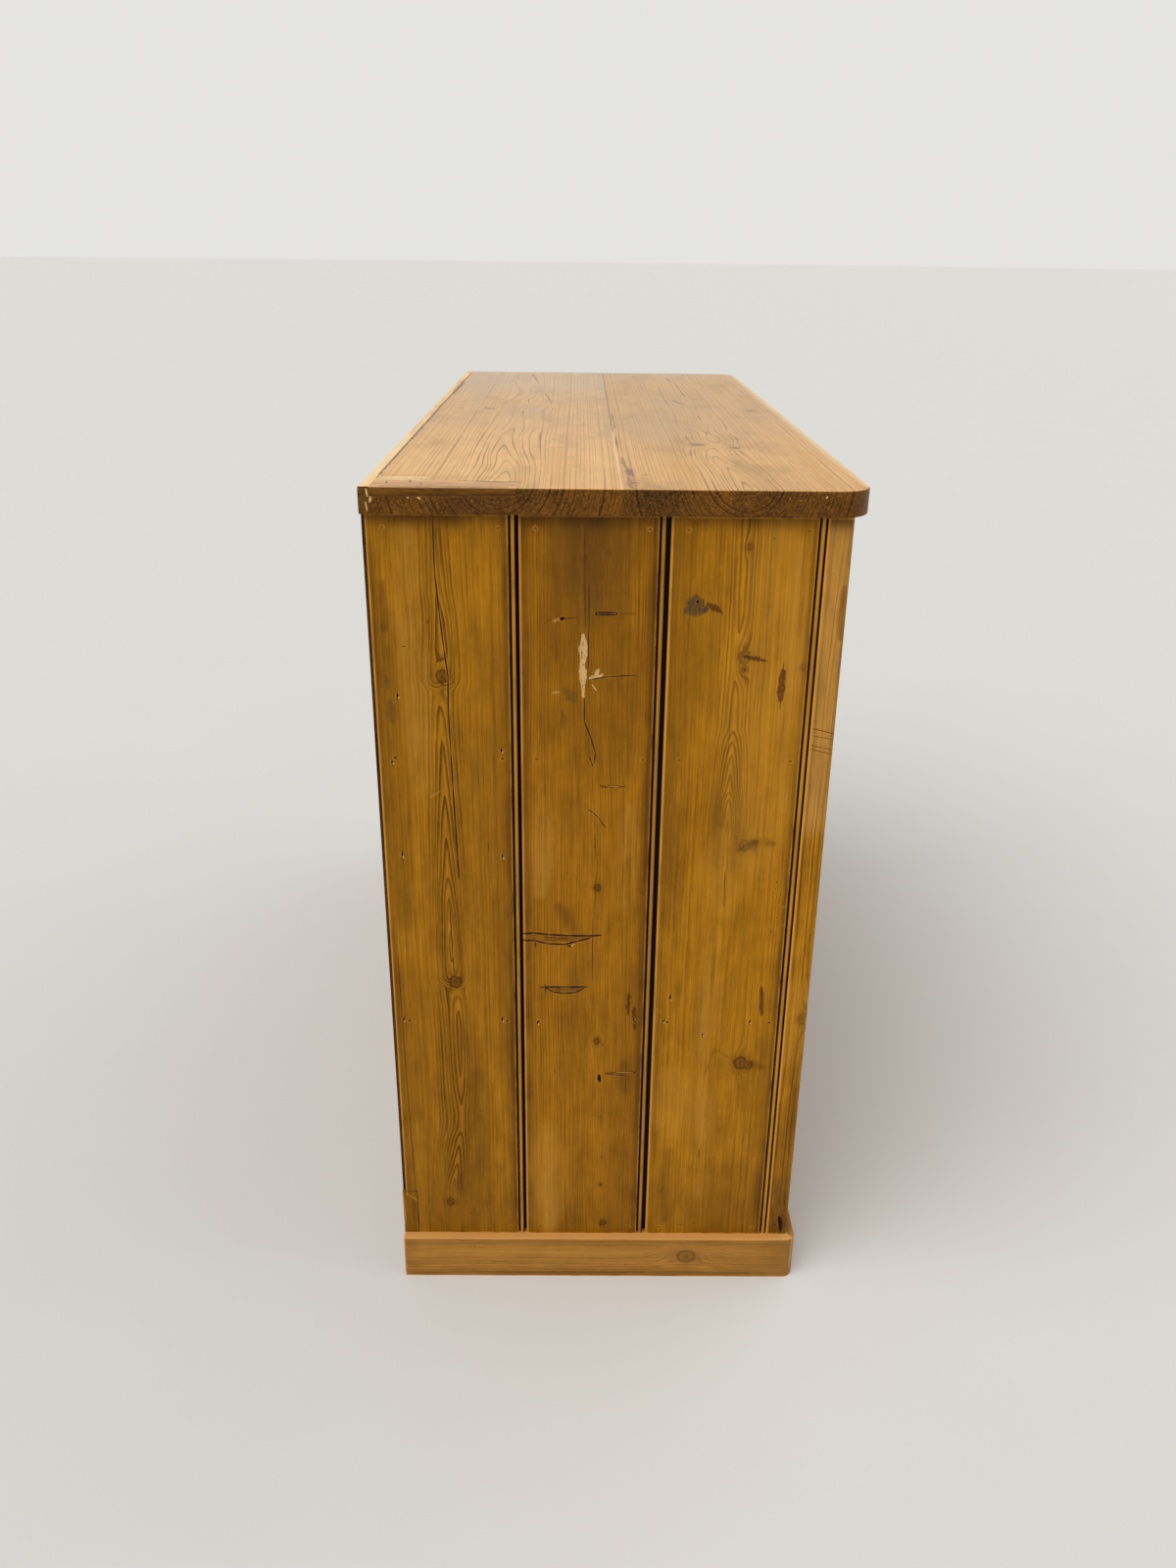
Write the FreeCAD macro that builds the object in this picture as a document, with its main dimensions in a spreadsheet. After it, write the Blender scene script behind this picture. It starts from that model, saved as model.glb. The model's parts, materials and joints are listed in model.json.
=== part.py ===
import FreeCAD, Part
import math
import os
import Sketcher
from FreeCAD import Placement, Rotation, Vector

# Pine school cupboard: beaded matchboard ends, a face frame and two panelled doors on a low plinth.
# Millimetres. +Z is up, the front faces -Y, and the origin is on the floor under the middle.

DIMENSIONS = {
    # Whole cupboard
    "top_length": 1168,
    "top_depth": 474,
    "height": 940,
    # Top
    "top_thickness": 25,
    "end_overhang": 4,
    "front_overhang": 17,
    "top_corner_radius": 34,
    "top_arris": 2.5,
    "under_arris": 1.5,
    "lipping_width": 10,
    "top_patch_length": 43,
    "top_patch_taper": 13,
    "top_patch_width": 134,
    "top_patch_depth": 9,
    "top_tongue_stop": 40,
    # Tongues and grooves of the thick boards
    "tongue_length": 8,
    "tongue_thickness": 6,
    "tongue_inset": 7.5,
    "tongue_clearance": 0.2,
    "groove_slack": 1,
    # Face frame
    "frame_thickness": 24,
    "frame_stile_width": 62,
    "top_rail_height": 45,
    "bottom_rail_height": 40,
    "frame_tenon_thickness": 8,
    "frame_tenon_length": 42,
    "frame_haunch": 9,
    "frame_arris": 1.5,
    # Ends
    "end_thickness": 19,
    "front_board_face": 144,
    "middle_board_face": 138,
    "bead_width": 5,
    "quirk_width": 2,
    "quirk_depth": 4,
    "board_arris": 2,
    "stile_gap": 1.2,
    "front_gap": 4,
    "back_gap": 2.5,
    "rebate_lip": 7,
    "rebate_depth": 5,
    "corner_patch_width": 17,
    "corner_patch_height": 48,
    "corner_patch_slope": 13,
    # Back
    "back_thickness": 9,
    "back_tongue_length": 6,
    "back_tongue_thickness": 3,
    "back_vee": 2,
    # Plinth
    "plinth_height": 58,
    "plinth_thickness": 20,
    "plinth_projection": 10,
    "plinth_corner_radius": 12,
    "plinth_arris": 2,
    "corner_block": 42,
    # Floor, shelves and their bearers
    "floor_thickness": 20,
    "bearer_width": 25,
    "bearer_height": 30,
    "bearer_chamfer": 16,
    "shelf_thickness": 19,
    "lower_shelf_share": 0.339,
    "upper_shelf_share": 0.721,
    "shelf_clearance": 0.5,
    "batten_width": 20,
    "batten_height": 25,
    # Cut nails through the ends
    "nail_bite": 18,
    "nail_width": 3,
    "nail_thickness": 2,
    "nail_from_edge": 16,
    # Doors
    "door_thickness": 23,
    "door_gap": 2.5,
    "door_clearance": 2,
    "door_stile_width": 72,
    "door_top_rail": 72,
    "door_bottom_rail": 96,
    "door_tenon_length": 50,
    "door_haunch": 14,
    "panel_thickness": 8,
    "panel_groove": 10,
    "panel_slack": 1.5,
    "panel_clearance": 0.2,
    "moulding_width": 12,
    "moulding_thickness": 6.5,
    "moulding_round": 5,
    # Knobs
    "knob_level": 545,
    "knob_projection": 33,
    "knob_radius": 19,
    "knob_crown": 11,
    "knob_shoulder": 5.5,
    "knob_neck": 9,
    "knob_flare": 6,
    "knob_spigot_radius": 6,
    "knob_spigot_length": 18,
    "spigot_clearance": 0.1,
    # Butt hinges
    "hinge_length": 64,
    "hinge_inset": 90,
    "leaf_width": 19,
    "leaf_thickness": 2,
    "knuckle_radius": 3.5,
    "knuckle_clearance": 0.3,
    "pin_radius": 1.6,
    "pin_clearance": 0.05,
    # Countersunk screws
    "screw_head_radius": 3,
    "screw_head_height": 1.5,
    "screw_radius": 1.5,
    "screw_length": 15,
    "screw_point": 4,
    "screw_clearance": 0.1,
    "screw_slot_width": 0.8,
    "screw_slot_depth": 0.7,
    # Cupboard lock on the right door
    "lock_level": 480,
    "lock_width": 46,
    "lock_height": 66,
    "lock_depth": 13,
    "lock_plate": 2,
    "lock_margin": 6,
    "lock_inset": 1,
    "lock_bolt_length": 32,
    "lock_bolt_height": 14,
    "lock_bolt_thickness": 5,
    "keyhole_inset": 24,
    "keyhole_radius": 3.5,
    "keyhole_slot": 3.4,
    "keyhole_drop": 11,
    "keyhole_depth": 30,
    "escutcheon_width": 22,
    "escutcheon_height": 40,
    "escutcheon_thickness": 1.2,
    # Flat bolt on the left door
    "bolt_plate_width": 28,
    "bolt_plate_height": 100,
    "bolt_plate_thickness": 1.6,
    "bolt_margin": 8,
    "bolt_width": 10,
    "bolt_thickness": 5,
    "bolt_length": 92,
    "bolt_knob_radius": 5,
    "bolt_knob_length": 11,
    "staple_width": 20,
    "staple_height": 11,
    "staple_wall": 2.2,
    "staple_inset": 12,
    "slide_clearance": 0.3,
}

BACK_BOARDS = 6

doc = FreeCAD.newDocument("school_cupboard")
sheet = doc.addObject("Spreadsheet::Sheet", "dim")
for row, (alias, value) in enumerate(DIMENSIONS.items(), start=1):
    sheet.set(f"A{row}", alias)
    sheet.set(f"B{row}", str(value))
    sheet.setAlias(f"B{row}", alias)
doc.recompute()

# Places that many pieces share, as expressions on the sheet
HALF = "(dim.top_length / 2 - dim.end_overhang)"
DEPTH = "(dim.top_depth - dim.front_overhang)"
FACE = f"((dim.knob_projection - {DEPTH}) / 2)"
REAR = f"({FACE} + {DEPTH})"
UNDER_TOP = "(dim.height - dim.top_thickness)"
BEHIND_FRAME = f"({FACE} + dim.frame_thickness)"
BEFORE_BACK = f"({REAR} - dim.back_thickness)"
INSIDE = f"({HALF} - dim.end_thickness)"
FLOOR_TOP = "(dim.plinth_height + dim.bottom_rail_height)"
SHELF_LEVELS = {
    name: f"({FLOOR_TOP} + dim.{name}_shelf_share * ({UNDER_TOP} - {FLOOR_TOP}))"
    for name in ("lower", "upper")
}
DOOR_LEFT = f"(dim.frame_stile_width + dim.door_gap - {HALF})"
DOOR_WIDTH = f"({HALF} - dim.frame_stile_width - 1.5 * dim.door_gap)"
DOOR_FOOT = f"({FLOOR_TOP} + dim.door_clearance)"
DOOR_HEAD = f"({UNDER_TOP} - dim.top_rail_height - dim.door_clearance)"
DOOR_HEIGHT = f"({DOOR_HEAD} - {DOOR_FOOT})"
BEHIND_DOOR = f"({FACE} + dim.door_thickness)"
END_BACK = f"({BEFORE_BACK} + dim.rebate_depth)"

PLANES = {"plan": "XY_Plane", "front": "XZ_Plane", "side": "YZ_Plane"}
HEADINGS = {
    "up": Rotation(),
    "left": Rotation(Vector(0, 1, 0), -90),
    "right": Rotation(Vector(0, 1, 0), 90),
    "front": Rotation(Vector(1, 0, 0), 90),
    "back": Rotation(Vector(1, 0, 0), -90),
}

nodes = []


def keep(piece):
    """Lists a finished sub-part, which is written to the file its label names."""
    nodes.append(piece)
    return piece


def number(text):
    """The value of an expression as the sheet stands."""
    value = sheet.evalExpression(text)
    return float(getattr(value, "Value", value))


def place(thing, x, y, z, heading="up"):
    """Binds a thing's place to expressions, with its own Z turned to a heading."""
    thing.Placement = Placement(Vector(), HEADINGS[heading])
    for axis, text in zip("xyz", (x, y, z)):
        thing.setExpression(f"Placement.Base.{axis}", text)


def block(label, corner, size):
    """A plain sawn block, from its lowest corner and its three sizes."""
    made = doc.addObject("Part::Box", label)
    for side, text in zip(("Length", "Width", "Height"), size):
        made.setExpression(side, text)
    place(made, *corner)
    return made


def rod(label, foot, radius, length, heading="up"):
    """A round bar from the middle of its foot."""
    made = doc.addObject("Part::Cylinder", label)
    made.setExpression("Radius", radius)
    made.setExpression("Height", length)
    place(made, *foot, heading)
    return made


def taper(label, foot, wide, narrow, length, heading):
    """A round taper from the middle of its wide foot."""
    made = doc.addObject("Part::Cone", label)
    made.setExpression("Radius1", wide)
    made.setExpression("Radius2", narrow)
    made.setExpression("Height", length)
    place(made, *foot, heading)
    return made


def group(label, *pieces):
    """Separate solids kept as one object."""
    made = doc.addObject("Part::Compound", label)
    made.Links = list(pieces)
    return made


def fuse(label, *pieces):
    made = doc.addObject("Part::MultiFuse", label)
    made.Shapes = list(pieces)
    return made


def cut(label, base, *tools):
    """Takes each tool out of the base in turn; the last cut carries the label."""
    made = base
    for count, tool in enumerate(tools, start=1):
        last = count == len(tools)
        step = doc.addObject("Part::Cut", label if last else f"{label}_cut_{count}")
        step.Base = made
        step.Tool = tool
        made = step
    return made


def mirror(label, source):
    """The same piece on the other side of the cupboard's middle."""
    made = doc.addObject("Part::Mirroring", label)
    made.Source = source
    made.Normal = Vector(1, 0, 0)
    made.Base = Vector(0, 0, 0)
    return made


def new_body(label, x, y, z):
    made = doc.addObject("PartDesign::Body", label)
    place(made, x, y, z)
    return made


def rectangle(left, low, right, high):
    return [(left, low), (right, low), (right, high), (left, high)]


def stretch(start, end, centre, clockwise):
    """The straight line or arc between two corners, and which of its ends is the first corner."""
    if centre is None:
        return Part.LineSegment(start, end), 1
    circle = Part.Circle(centre, Vector(0, 0, 1), (start - centre).Length)
    first, last = (end, start) if clockwise else (start, end)
    angles = [math.atan2(point.y - centre.y, point.x - centre.x) for point in (first, last)]
    if angles[1] <= angles[0]:
        angles[1] += 2 * math.pi
    return Part.ArcOfCircle(circle, *angles), 2 if clockwise else 1


def hold(sketch, piece, point, axis, text):
    """Ties one coordinate of a sketch point to an expression."""
    if text == "0":
        line = -2 if axis == "X" else -1
        sketch.addConstraint(Sketcher.Constraint("PointOnObject", piece, point, line))
        return
    index = sketch.addConstraint(
        Sketcher.Constraint(f"Distance{axis}", -1, 1, piece, point, number(text)))
    name = f"{axis.lower()}_{piece}_{point}"
    sketch.renameConstraint(index, name)
    sketch.setExpression(f"Constraints.{name}", text)


def draw(owner, plane, corners, offset="0"):
    """A closed outline on one of the body's own planes.

    A corner is a pair of expressions. With a centre after it, the stretch to the next corner is an arc,
    counter-clockwise unless a fourth entry is True.
    """
    sketch = owner.newObject("Sketcher::SketchObject", f"{owner.Name}_outline")
    role = PLANES[plane]
    support = next(part for part in owner.Origin.OriginFeatures if part.Role == role)
    sketch.AttachmentSupport = [(support, "")]
    sketch.MapMode = "FlatFace"
    sketch.setExpression("AttachmentOffset.Base.z", offset)
    points = [Vector(number(corner[0]), number(corner[1]), 0) for corner in corners]
    ends = []
    for index, corner in enumerate(corners):
        centre = Vector(number(corner[2][0]), number(corner[2][1]), 0) if len(corner) > 2 else None
        clockwise = len(corner) > 3 and corner[3]
        following = points[(index + 1) % len(points)]
        shape, first = stretch(points[index], following, centre, clockwise)
        sketch.addGeometry(shape, False)
        ends.append(first)
    for index, first in enumerate(ends):
        after = (index + 1) % len(ends)
        sketch.addConstraint(Sketcher.Constraint("Coincident", index, 3 - first, after, ends[after]))
    for index, corner in enumerate(corners):
        hold(sketch, index, ends[index], "X", corner[0])
        hold(sketch, index, ends[index], "Y", corner[1])
        if len(corner) > 2:
            chord = points[(index + 1) % len(points)] - points[index]
            upright = abs(chord.y) >= abs(chord.x)
            hold(sketch, index, 3, "X" if upright else "Y", corner[2][0 if upright else 1])
    return sketch


def pad(owner, plane, corners, length, offset="0", backwards=False):
    """A pad of an outline: up from the plan, to the front from the front plane, right from the side."""
    sketch = draw(owner, plane, corners, offset)
    made = owner.newObject("PartDesign::Pad", f"{owner.Name}_pad")
    made.Profile = sketch
    made.Reversed = backwards
    made.setExpression("Length", length)
    return made


def turn(owner, corners):
    """A turned form, from its half section with the radius across and the axis upward."""
    sketch = draw(owner, "plan", corners)
    made = owner.newObject("PartDesign::Revolution", f"{owner.Name}_turning")
    made.Profile = sketch
    made.ReferenceAxis = (sketch, ["V_Axis"])
    made.Angle = 360
    return made


def lies_at(edge, axis, level):
    """True where a whole edge lies at one level of an axis."""
    box = edge.BoundBox
    low, high = {"x": (box.XMin, box.XMax), "y": (box.YMin, box.YMax), "z": (box.ZMin, box.ZMax)}[axis]
    return abs(low - level) < 0.01 and abs(high - level) < 0.01


def soften(owner, radius, wanted):
    """Rounds the arrises of the body that a test picks."""
    doc.recompute()
    base = owner.Tip
    names = [f"Edge{index}" for index, edge in enumerate(base.Shape.Edges, start=1) if wanted(edge)]
    made = owner.newObject("PartDesign::Fillet", f"{owner.Name}_arris")
    made.Base = (base, names)
    made.setExpression("Radius", radius)
    return made


# Top: two tongued boards, a lipping along the back and a let-in patch at the left end

TOP_BOARD = "((dim.top_depth - dim.lipping_width) / 2)"
TOP_LEFT = "-dim.top_length / 2"
TOP_FRONT = f"({FACE} - dim.front_overhang)"
TOP_JOINT = f"({TOP_FRONT} + {TOP_BOARD})"
TOP_TONGUE_LEVEL = "((dim.top_thickness - dim.tongue_thickness) / 2)"


def soften_top(board, joint):
    """Wears the arrises of a top board, all but those along its joint."""
    level = number(joint)

    def worn(edge, height):
        return lies_at(edge, "z", height) and not lies_at(edge, "y", level)

    soften(board, "dim.top_arris", lambda edge: worn(edge, number("dim.top_thickness")))
    soften(board, "dim.under_arris", lambda edge: worn(edge, 0))


def top_front_board():
    board = new_body("top_front_board", TOP_LEFT, TOP_FRONT, UNDER_TOP)
    radius = "dim.top_corner_radius"
    right = "(dim.top_length - dim.top_corner_radius)"
    pad(board, "plan", [
        (radius, "0"),
        (right, "0", (right, radius)),
        ("dim.top_length", radius),
        ("dim.top_length", TOP_BOARD),
        ("0", TOP_BOARD),
        ("0", radius, (radius, radius)),
    ], "dim.top_thickness")
    soften_top(board, TOP_BOARD)
    tongue = rectangle("dim.top_tongue_stop", TOP_BOARD,
                       "dim.top_length - dim.top_tongue_stop", f"{TOP_BOARD} + dim.tongue_length")
    pad(board, "plan", tongue, "dim.tongue_thickness", TOP_TONGUE_LEVEL)
    return keep(board)


def top_back_board():
    blank = new_body("top_back_board_blank", TOP_LEFT, TOP_JOINT, UNDER_TOP)
    pad(blank, "plan", rectangle("0", "0", "dim.top_length", TOP_BOARD), "dim.top_thickness")
    ends = (0, number("dim.top_length"))

    def end_arris(edge, height):
        return lies_at(edge, "z", height) and any(lies_at(edge, "x", end) for end in ends)

    soften(blank, "dim.top_arris", lambda edge: end_arris(edge, number("dim.top_thickness")))
    soften(blank, "dim.under_arris", lambda edge: end_arris(edge, 0))
    groove = block("top_groove", (
        f"{TOP_LEFT} + dim.top_tongue_stop - dim.groove_slack",
        TOP_JOINT,
        f"{UNDER_TOP} + {TOP_TONGUE_LEVEL} - dim.tongue_clearance",
    ), (
        "dim.top_length - 2 * (dim.top_tongue_stop - dim.groove_slack)",
        "dim.tongue_length + dim.groove_slack",
        "dim.tongue_thickness + 2 * dim.tongue_clearance",
    ))
    return cut("top_back_board_grooved", blank, groove)


def top_end_patch(board):
    """A tapered patch that keeps the board's own worn end, because it is cut from the same blank."""
    space = new_body("top_end_patch_space", TOP_LEFT, f"{TOP_JOINT} + {TOP_BOARD} - dim.top_patch_width",
                     "dim.height - dim.top_patch_depth")
    pad(space, "plan", [
        ("0", "0"),
        ("dim.top_patch_length - dim.top_patch_taper", "0"),
        ("dim.top_patch_length", "dim.top_patch_width"),
        ("0", "dim.top_patch_width"),
    ], "dim.top_patch_depth")
    patch = doc.addObject("Part::Common", "top_end_patch")
    patch.Base = board
    patch.Tool = space
    keep(patch)
    keep(cut("top_back_board", board, space))


def top_lipping():
    strip = new_body("top_back_lipping", TOP_LEFT, f"{TOP_JOINT} + {TOP_BOARD}", UNDER_TOP)
    pad(strip, "plan", rectangle("0", "0", "dim.top_length", "dim.lipping_width"), "dim.top_thickness")
    back = number("dim.lipping_width")
    crown = number("dim.top_thickness")
    soften(strip, "dim.under_arris", lambda edge: lies_at(edge, "y", back) and lies_at(edge, "z", crown))
    return keep(strip)


# Ends: three beaded boards each, tongued into one another and into the frame's stile

GROOVE_DEPTH = "(dim.tongue_length + dim.groove_slack)"
GROOVE_NEAR = "(dim.tongue_inset - dim.tongue_clearance)"
GROOVE_FAR = "(dim.tongue_inset + dim.tongue_thickness + dim.tongue_clearance)"
FRONT_EDGE = f"({BEHIND_FRAME} + dim.stile_gap)"
MIDDLE_EDGE = f"({FRONT_EDGE} + dim.front_board_face + dim.front_gap)"
BACK_EDGE = f"({MIDDLE_EDGE} + dim.middle_board_face + dim.back_gap)"
END_BOARDS = {
    "front": (FRONT_EDGE, "dim.front_board_face"),
    "middle": (MIDDLE_EDGE, "dim.middle_board_face"),
    "back": (BACK_EDGE, f"({END_BACK} - {BACK_EDGE})"),
}


def beaded_board(name):
    """One matchboard: tongue, bead and quirk on its front edge, groove or back rebate behind."""
    front_edge, wide = END_BOARDS[name]
    face = "dim.tongue_length"
    bead = f"({face} + dim.bead_width)"
    quirk = f"({bead} + dim.quirk_width)"
    half = "dim.bead_width / 2"
    rear = f"({face} + {wide})"
    tongue_far = "(dim.tongue_inset + dim.tongue_thickness)"
    board = new_body(f"left_end_{name}_blank", f"-{HALF}", f"{front_edge} - dim.tongue_length",
                     "dim.plinth_height")
    front = [
        ("dim.end_thickness", face),
        (tongue_far, face),
        (tongue_far, "0"),
        ("dim.tongue_inset", "0"),
        ("dim.tongue_inset", face),
        (half, face, (half, f"({face} + {half})"), True),
        (half, bead),
        ("dim.quirk_depth", bead),
        ("dim.quirk_depth", quirk),
        ("0", quirk),
        ("0", f"({rear} - dim.board_arris)", ("dim.board_arris", f"({rear} - dim.board_arris)"), True),
        ("dim.board_arris", rear),
    ]
    groove = [
        (GROOVE_NEAR, rear),
        (GROOVE_NEAR, f"({rear} - {GROOVE_DEPTH})"),
        (GROOVE_FAR, f"({rear} - {GROOVE_DEPTH})"),
        (GROOVE_FAR, rear),
        ("dim.end_thickness", rear),
    ]
    rebate = [
        ("dim.rebate_lip", rear),
        ("dim.rebate_lip", f"({rear} - dim.rebate_depth)"),
        ("dim.end_thickness", f"({rear} - dim.rebate_depth)"),
    ]
    behind = rebate if name == "back" else groove
    pad(board, "plan", front + behind, f"{UNDER_TOP} - dim.plinth_height")
    return board


def end_nails():
    """Two cut nails in each board at each bearer and at the top batten."""
    levels = [
        f"{FLOOR_TOP} - dim.floor_thickness - {FLOOR_BEARER} / 2",
        f"{SHELF_LEVELS['lower']} - dim.bearer_height / 2",
        f"{SHELF_LEVELS['upper']} - dim.bearer_height / 2",
        f"{UNDER_TOP} - dim.batten_height / 2",
    ]
    nails = []
    for edge, wide in END_BOARDS.values():
        for along in (f"{edge} + dim.nail_from_edge", f"{edge} + {wide} - dim.nail_from_edge"):
            for level in levels:
                nails.append(block("nail", (
                    f"-{HALF}", f"{along} - dim.nail_width / 2", f"{level} - dim.nail_thickness / 2",
                ), ("dim.end_thickness + dim.nail_bite", "dim.nail_width", "dim.nail_thickness")))
    return group("left_nails", *nails)


def corner_patch():
    """The glued repair at the foot of the left end's back corner, as thick as the rebate's lip."""
    rise = "dim.corner_patch_height"
    patch = new_body("left_end_corner_patch", f"-{HALF}", f"{REAR} - dim.corner_patch_width",
                     "dim.plinth_height")
    pad(patch, "side", [
        ("0", "0"),
        ("dim.corner_patch_width", "0"),
        ("dim.corner_patch_width", f"({rise} + dim.corner_patch_slope)"),
        ("0", rise),
    ], "dim.rebate_lip")
    return keep(patch)


def ends(nails):
    patch = corner_patch()
    for name in END_BOARDS:
        board = beaded_board(name)
        label = f"left_end_{name}_board"
        if name == "back":
            nailed = cut("left_end_back_nailed", board, nails)
            keep(cut(label, nailed, patch))
        else:
            nailed = keep(cut(label, board, nails))
        keep(mirror(f"right_end_{name}_board", nailed))


# Bearers nailed to the ends, battens under the top, floor and shelves

FLOOR_BEARER = "(dim.bottom_rail_height - dim.floor_thickness)"
INNER_DEPTH = f"({BEFORE_BACK} - {BEHIND_FRAME})"
PLANK = f"({INNER_DEPTH} / 2)"


def bearer(label, underside, height, chamfer):
    """A batten along the left end, with its lower front corner cut away."""
    made = new_body(label, f"-{INSIDE}", BEHIND_FRAME, underside)
    pad(made, "side", [
        (chamfer, "0"),
        (INNER_DEPTH, "0"),
        (INNER_DEPTH, height),
        ("0", height),
        ("0", chamfer),
    ], "dim.bearer_width")
    return made


def bearers(nails):
    floor_level = f"{FLOOR_TOP} - dim.floor_thickness - {FLOOR_BEARER}"
    lower_level = f"{SHELF_LEVELS['lower']} - dim.bearer_height"
    upper_level = f"{SHELF_LEVELS['upper']} - dim.bearer_height"
    small = f"({FLOOR_BEARER} / 4)"
    floor = cut("left_floor_bearer", bearer("floor_bearer_blank", floor_level, FLOOR_BEARER, small), nails)
    lower = bearer("lower_bearer_blank", lower_level, "dim.bearer_height", "dim.bearer_chamfer")
    upper = bearer("upper_bearer_blank", upper_level, "dim.bearer_height", "dim.bearer_chamfer")
    left = [cut("left_lower_bearer", lower, nails), cut("left_upper_bearer", upper, nails)]
    right = [mirror("right_lower_bearer", left[0]), mirror("right_upper_bearer", left[1])]
    keep(group("floor_bearers", floor, mirror("right_floor_bearer", floor)))
    keep(group("shelf_bearers", *left, *right))
    blank = block("top_batten_blank", (f"-{INSIDE}", BEHIND_FRAME, f"{UNDER_TOP} - dim.batten_height"),
                  ("dim.batten_width", INNER_DEPTH, "dim.batten_height"))
    side = cut("left_top_batten", blank, nails)
    back = block("back_top_batten", (
        f"dim.batten_width - {INSIDE}",
        f"{BEFORE_BACK} - dim.batten_width",
        f"{UNDER_TOP} - dim.batten_height",
    ), (f"2 * ({INSIDE} - dim.batten_width)", "dim.batten_width", "dim.batten_height"))
    keep(group("top_battens", side, mirror("right_top_batten", side), back))


def planks(label, level, thickness, clearance):
    """Two boards tongued together along the cupboard, front one first."""
    low = f"(({thickness} - dim.tongue_thickness) / 2)"
    high = f"({low} + dim.tongue_thickness)"
    long = f"2 * ({INSIDE} - {clearance})"
    front = new_body(f"{label}_front_board", f"{clearance} - {INSIDE}", BEHIND_FRAME, level)
    pad(front, "side", [
        ("0", "0"),
        (PLANK, "0"),
        (PLANK, low),
        (f"({PLANK} + dim.tongue_length)", low),
        (f"({PLANK} + dim.tongue_length)", high),
        (PLANK, high),
        (PLANK, thickness),
        ("0", thickness),
    ], long)
    rear = f"({PLANK} - {clearance})"
    back = new_body(f"{label}_back_board", f"{clearance} - {INSIDE}", f"{BEHIND_FRAME} + {PLANK}", level)
    pad(back, "side", [
        ("0", "0"),
        (rear, "0"),
        (rear, thickness),
        ("0", thickness),
        ("0", f"({high} + dim.tongue_clearance)"),
        (GROOVE_DEPTH, f"({high} + dim.tongue_clearance)"),
        (GROOVE_DEPTH, f"({low} - dim.tongue_clearance)"),
        ("0", f"({low} - dim.tongue_clearance)"),
    ], long)
    return front, back


def floor_and_shelves():
    for board in planks("floor", f"{FLOOR_TOP} - dim.floor_thickness", "dim.floor_thickness", "0"):
        keep(board)
    for name, level in SHELF_LEVELS.items():
        boards = planks(f"{name}_shelf", level, "dim.shelf_thickness", "dim.shelf_clearance")
        keep(group(f"{name}_shelf", *boards))


# Back: upright boards with a tongued vee joint, between the ends' lips

def back_board(index):
    """One back board, counted from the left; the outer ones have a plain outer edge."""
    cover = f"(2 * ({HALF} - dim.rebate_lip) / {BACK_BOARDS})"
    first = index == 0
    last = index == BACK_BOARDS - 1
    left = "dim.back_tongue_length"
    right = f"({left} + {cover})"
    low = "((dim.back_thickness - dim.back_tongue_thickness) / 2)"
    high = f"({low} + dim.back_tongue_thickness)"
    slot_low = f"({low} - dim.tongue_clearance)"
    slot_high = f"({high} + dim.tongue_clearance)"
    slot = f"({right} - dim.back_tongue_length - dim.groove_slack)"
    board = new_body(f"back_board_{index + 1}",
                     f"dim.rebate_lip - {HALF} + {index} * {cover} - dim.back_tongue_length",
                     BEFORE_BACK, "dim.plinth_height")
    outline = [(left, "0")] if first else [(f"({left} + dim.back_vee)", "0")]
    outline += [(right, "0")] if last else [
        (f"({right} - dim.back_vee)", "0"),
        (right, "dim.back_vee"),
        (right, slot_low),
        (slot, slot_low),
        (slot, slot_high),
        (right, slot_high),
    ]
    outline += [(right, "dim.back_thickness"), (left, "dim.back_thickness")]
    outline += [] if first else [
        (left, high),
        ("0", high),
        ("0", low),
        (left, low),
        (left, "dim.back_vee"),
    ]
    pad(board, "plan", outline, f"{UNDER_TOP} - dim.plinth_height")
    return keep(board)


# Plinth: mitred and rounded at the front, butted at the back, blocked in the corners

PLINTH_HALF = f"({HALF} + dim.plinth_projection)"
PLINTH_FRONT = f"({FACE} - dim.plinth_projection)"


def plinth():
    radius = "dim.plinth_corner_radius"
    thick = "dim.plinth_thickness"
    mitre = "(dim.plinth_corner_radius * (1 - 1 / sqrt(2)))"
    span = f"(2 * {PLINTH_HALF})"
    run = f"({REAR} - {PLINTH_FRONT})"
    crown = number("dim.plinth_height")
    front = new_body("plinth_front", f"-{PLINTH_HALF}", PLINTH_FRONT, "0")
    pad(front, "plan", [
        (mitre, mitre, (radius, radius)),
        (radius, "0"),
        (f"({span} - {radius})", "0", (f"({span} - {radius})", radius)),
        (f"({span} - {mitre})", mitre),
        (f"({span} - {thick})", thick),
        (thick, thick),
    ], "dim.plinth_height")
    near = number(radius)

    def outer_front(edge):
        return lies_at(edge, "z", crown) and edge.BoundBox.YMax < near and edge.BoundBox.YMin < 0.01

    soften(front, "dim.plinth_arris", outer_front)
    left = new_body("plinth_left", f"-{PLINTH_HALF}", PLINTH_FRONT, "0")
    pad(left, "plan", [
        ("0", radius, (radius, radius)),
        (mitre, mitre),
        (thick, thick),
        (thick, run),
        ("0", run),
    ], "dim.plinth_height")

    def outer_left(edge):
        return lies_at(edge, "z", crown) and edge.BoundBox.XMax < near and edge.BoundBox.XMin < 0.01 \
            and edge.BoundBox.YMin < number(run) - 0.01

    soften(left, "dim.plinth_arris", outer_left)
    keep(front)
    keep(left)
    keep(mirror("plinth_right", left))
    keep(block("plinth_back", (f"{thick} - {PLINTH_HALF}", f"{REAR} - {thick}", "0"),
               (f"2 * ({PLINTH_HALF} - {thick})", thick, "dim.plinth_height")))


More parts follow.
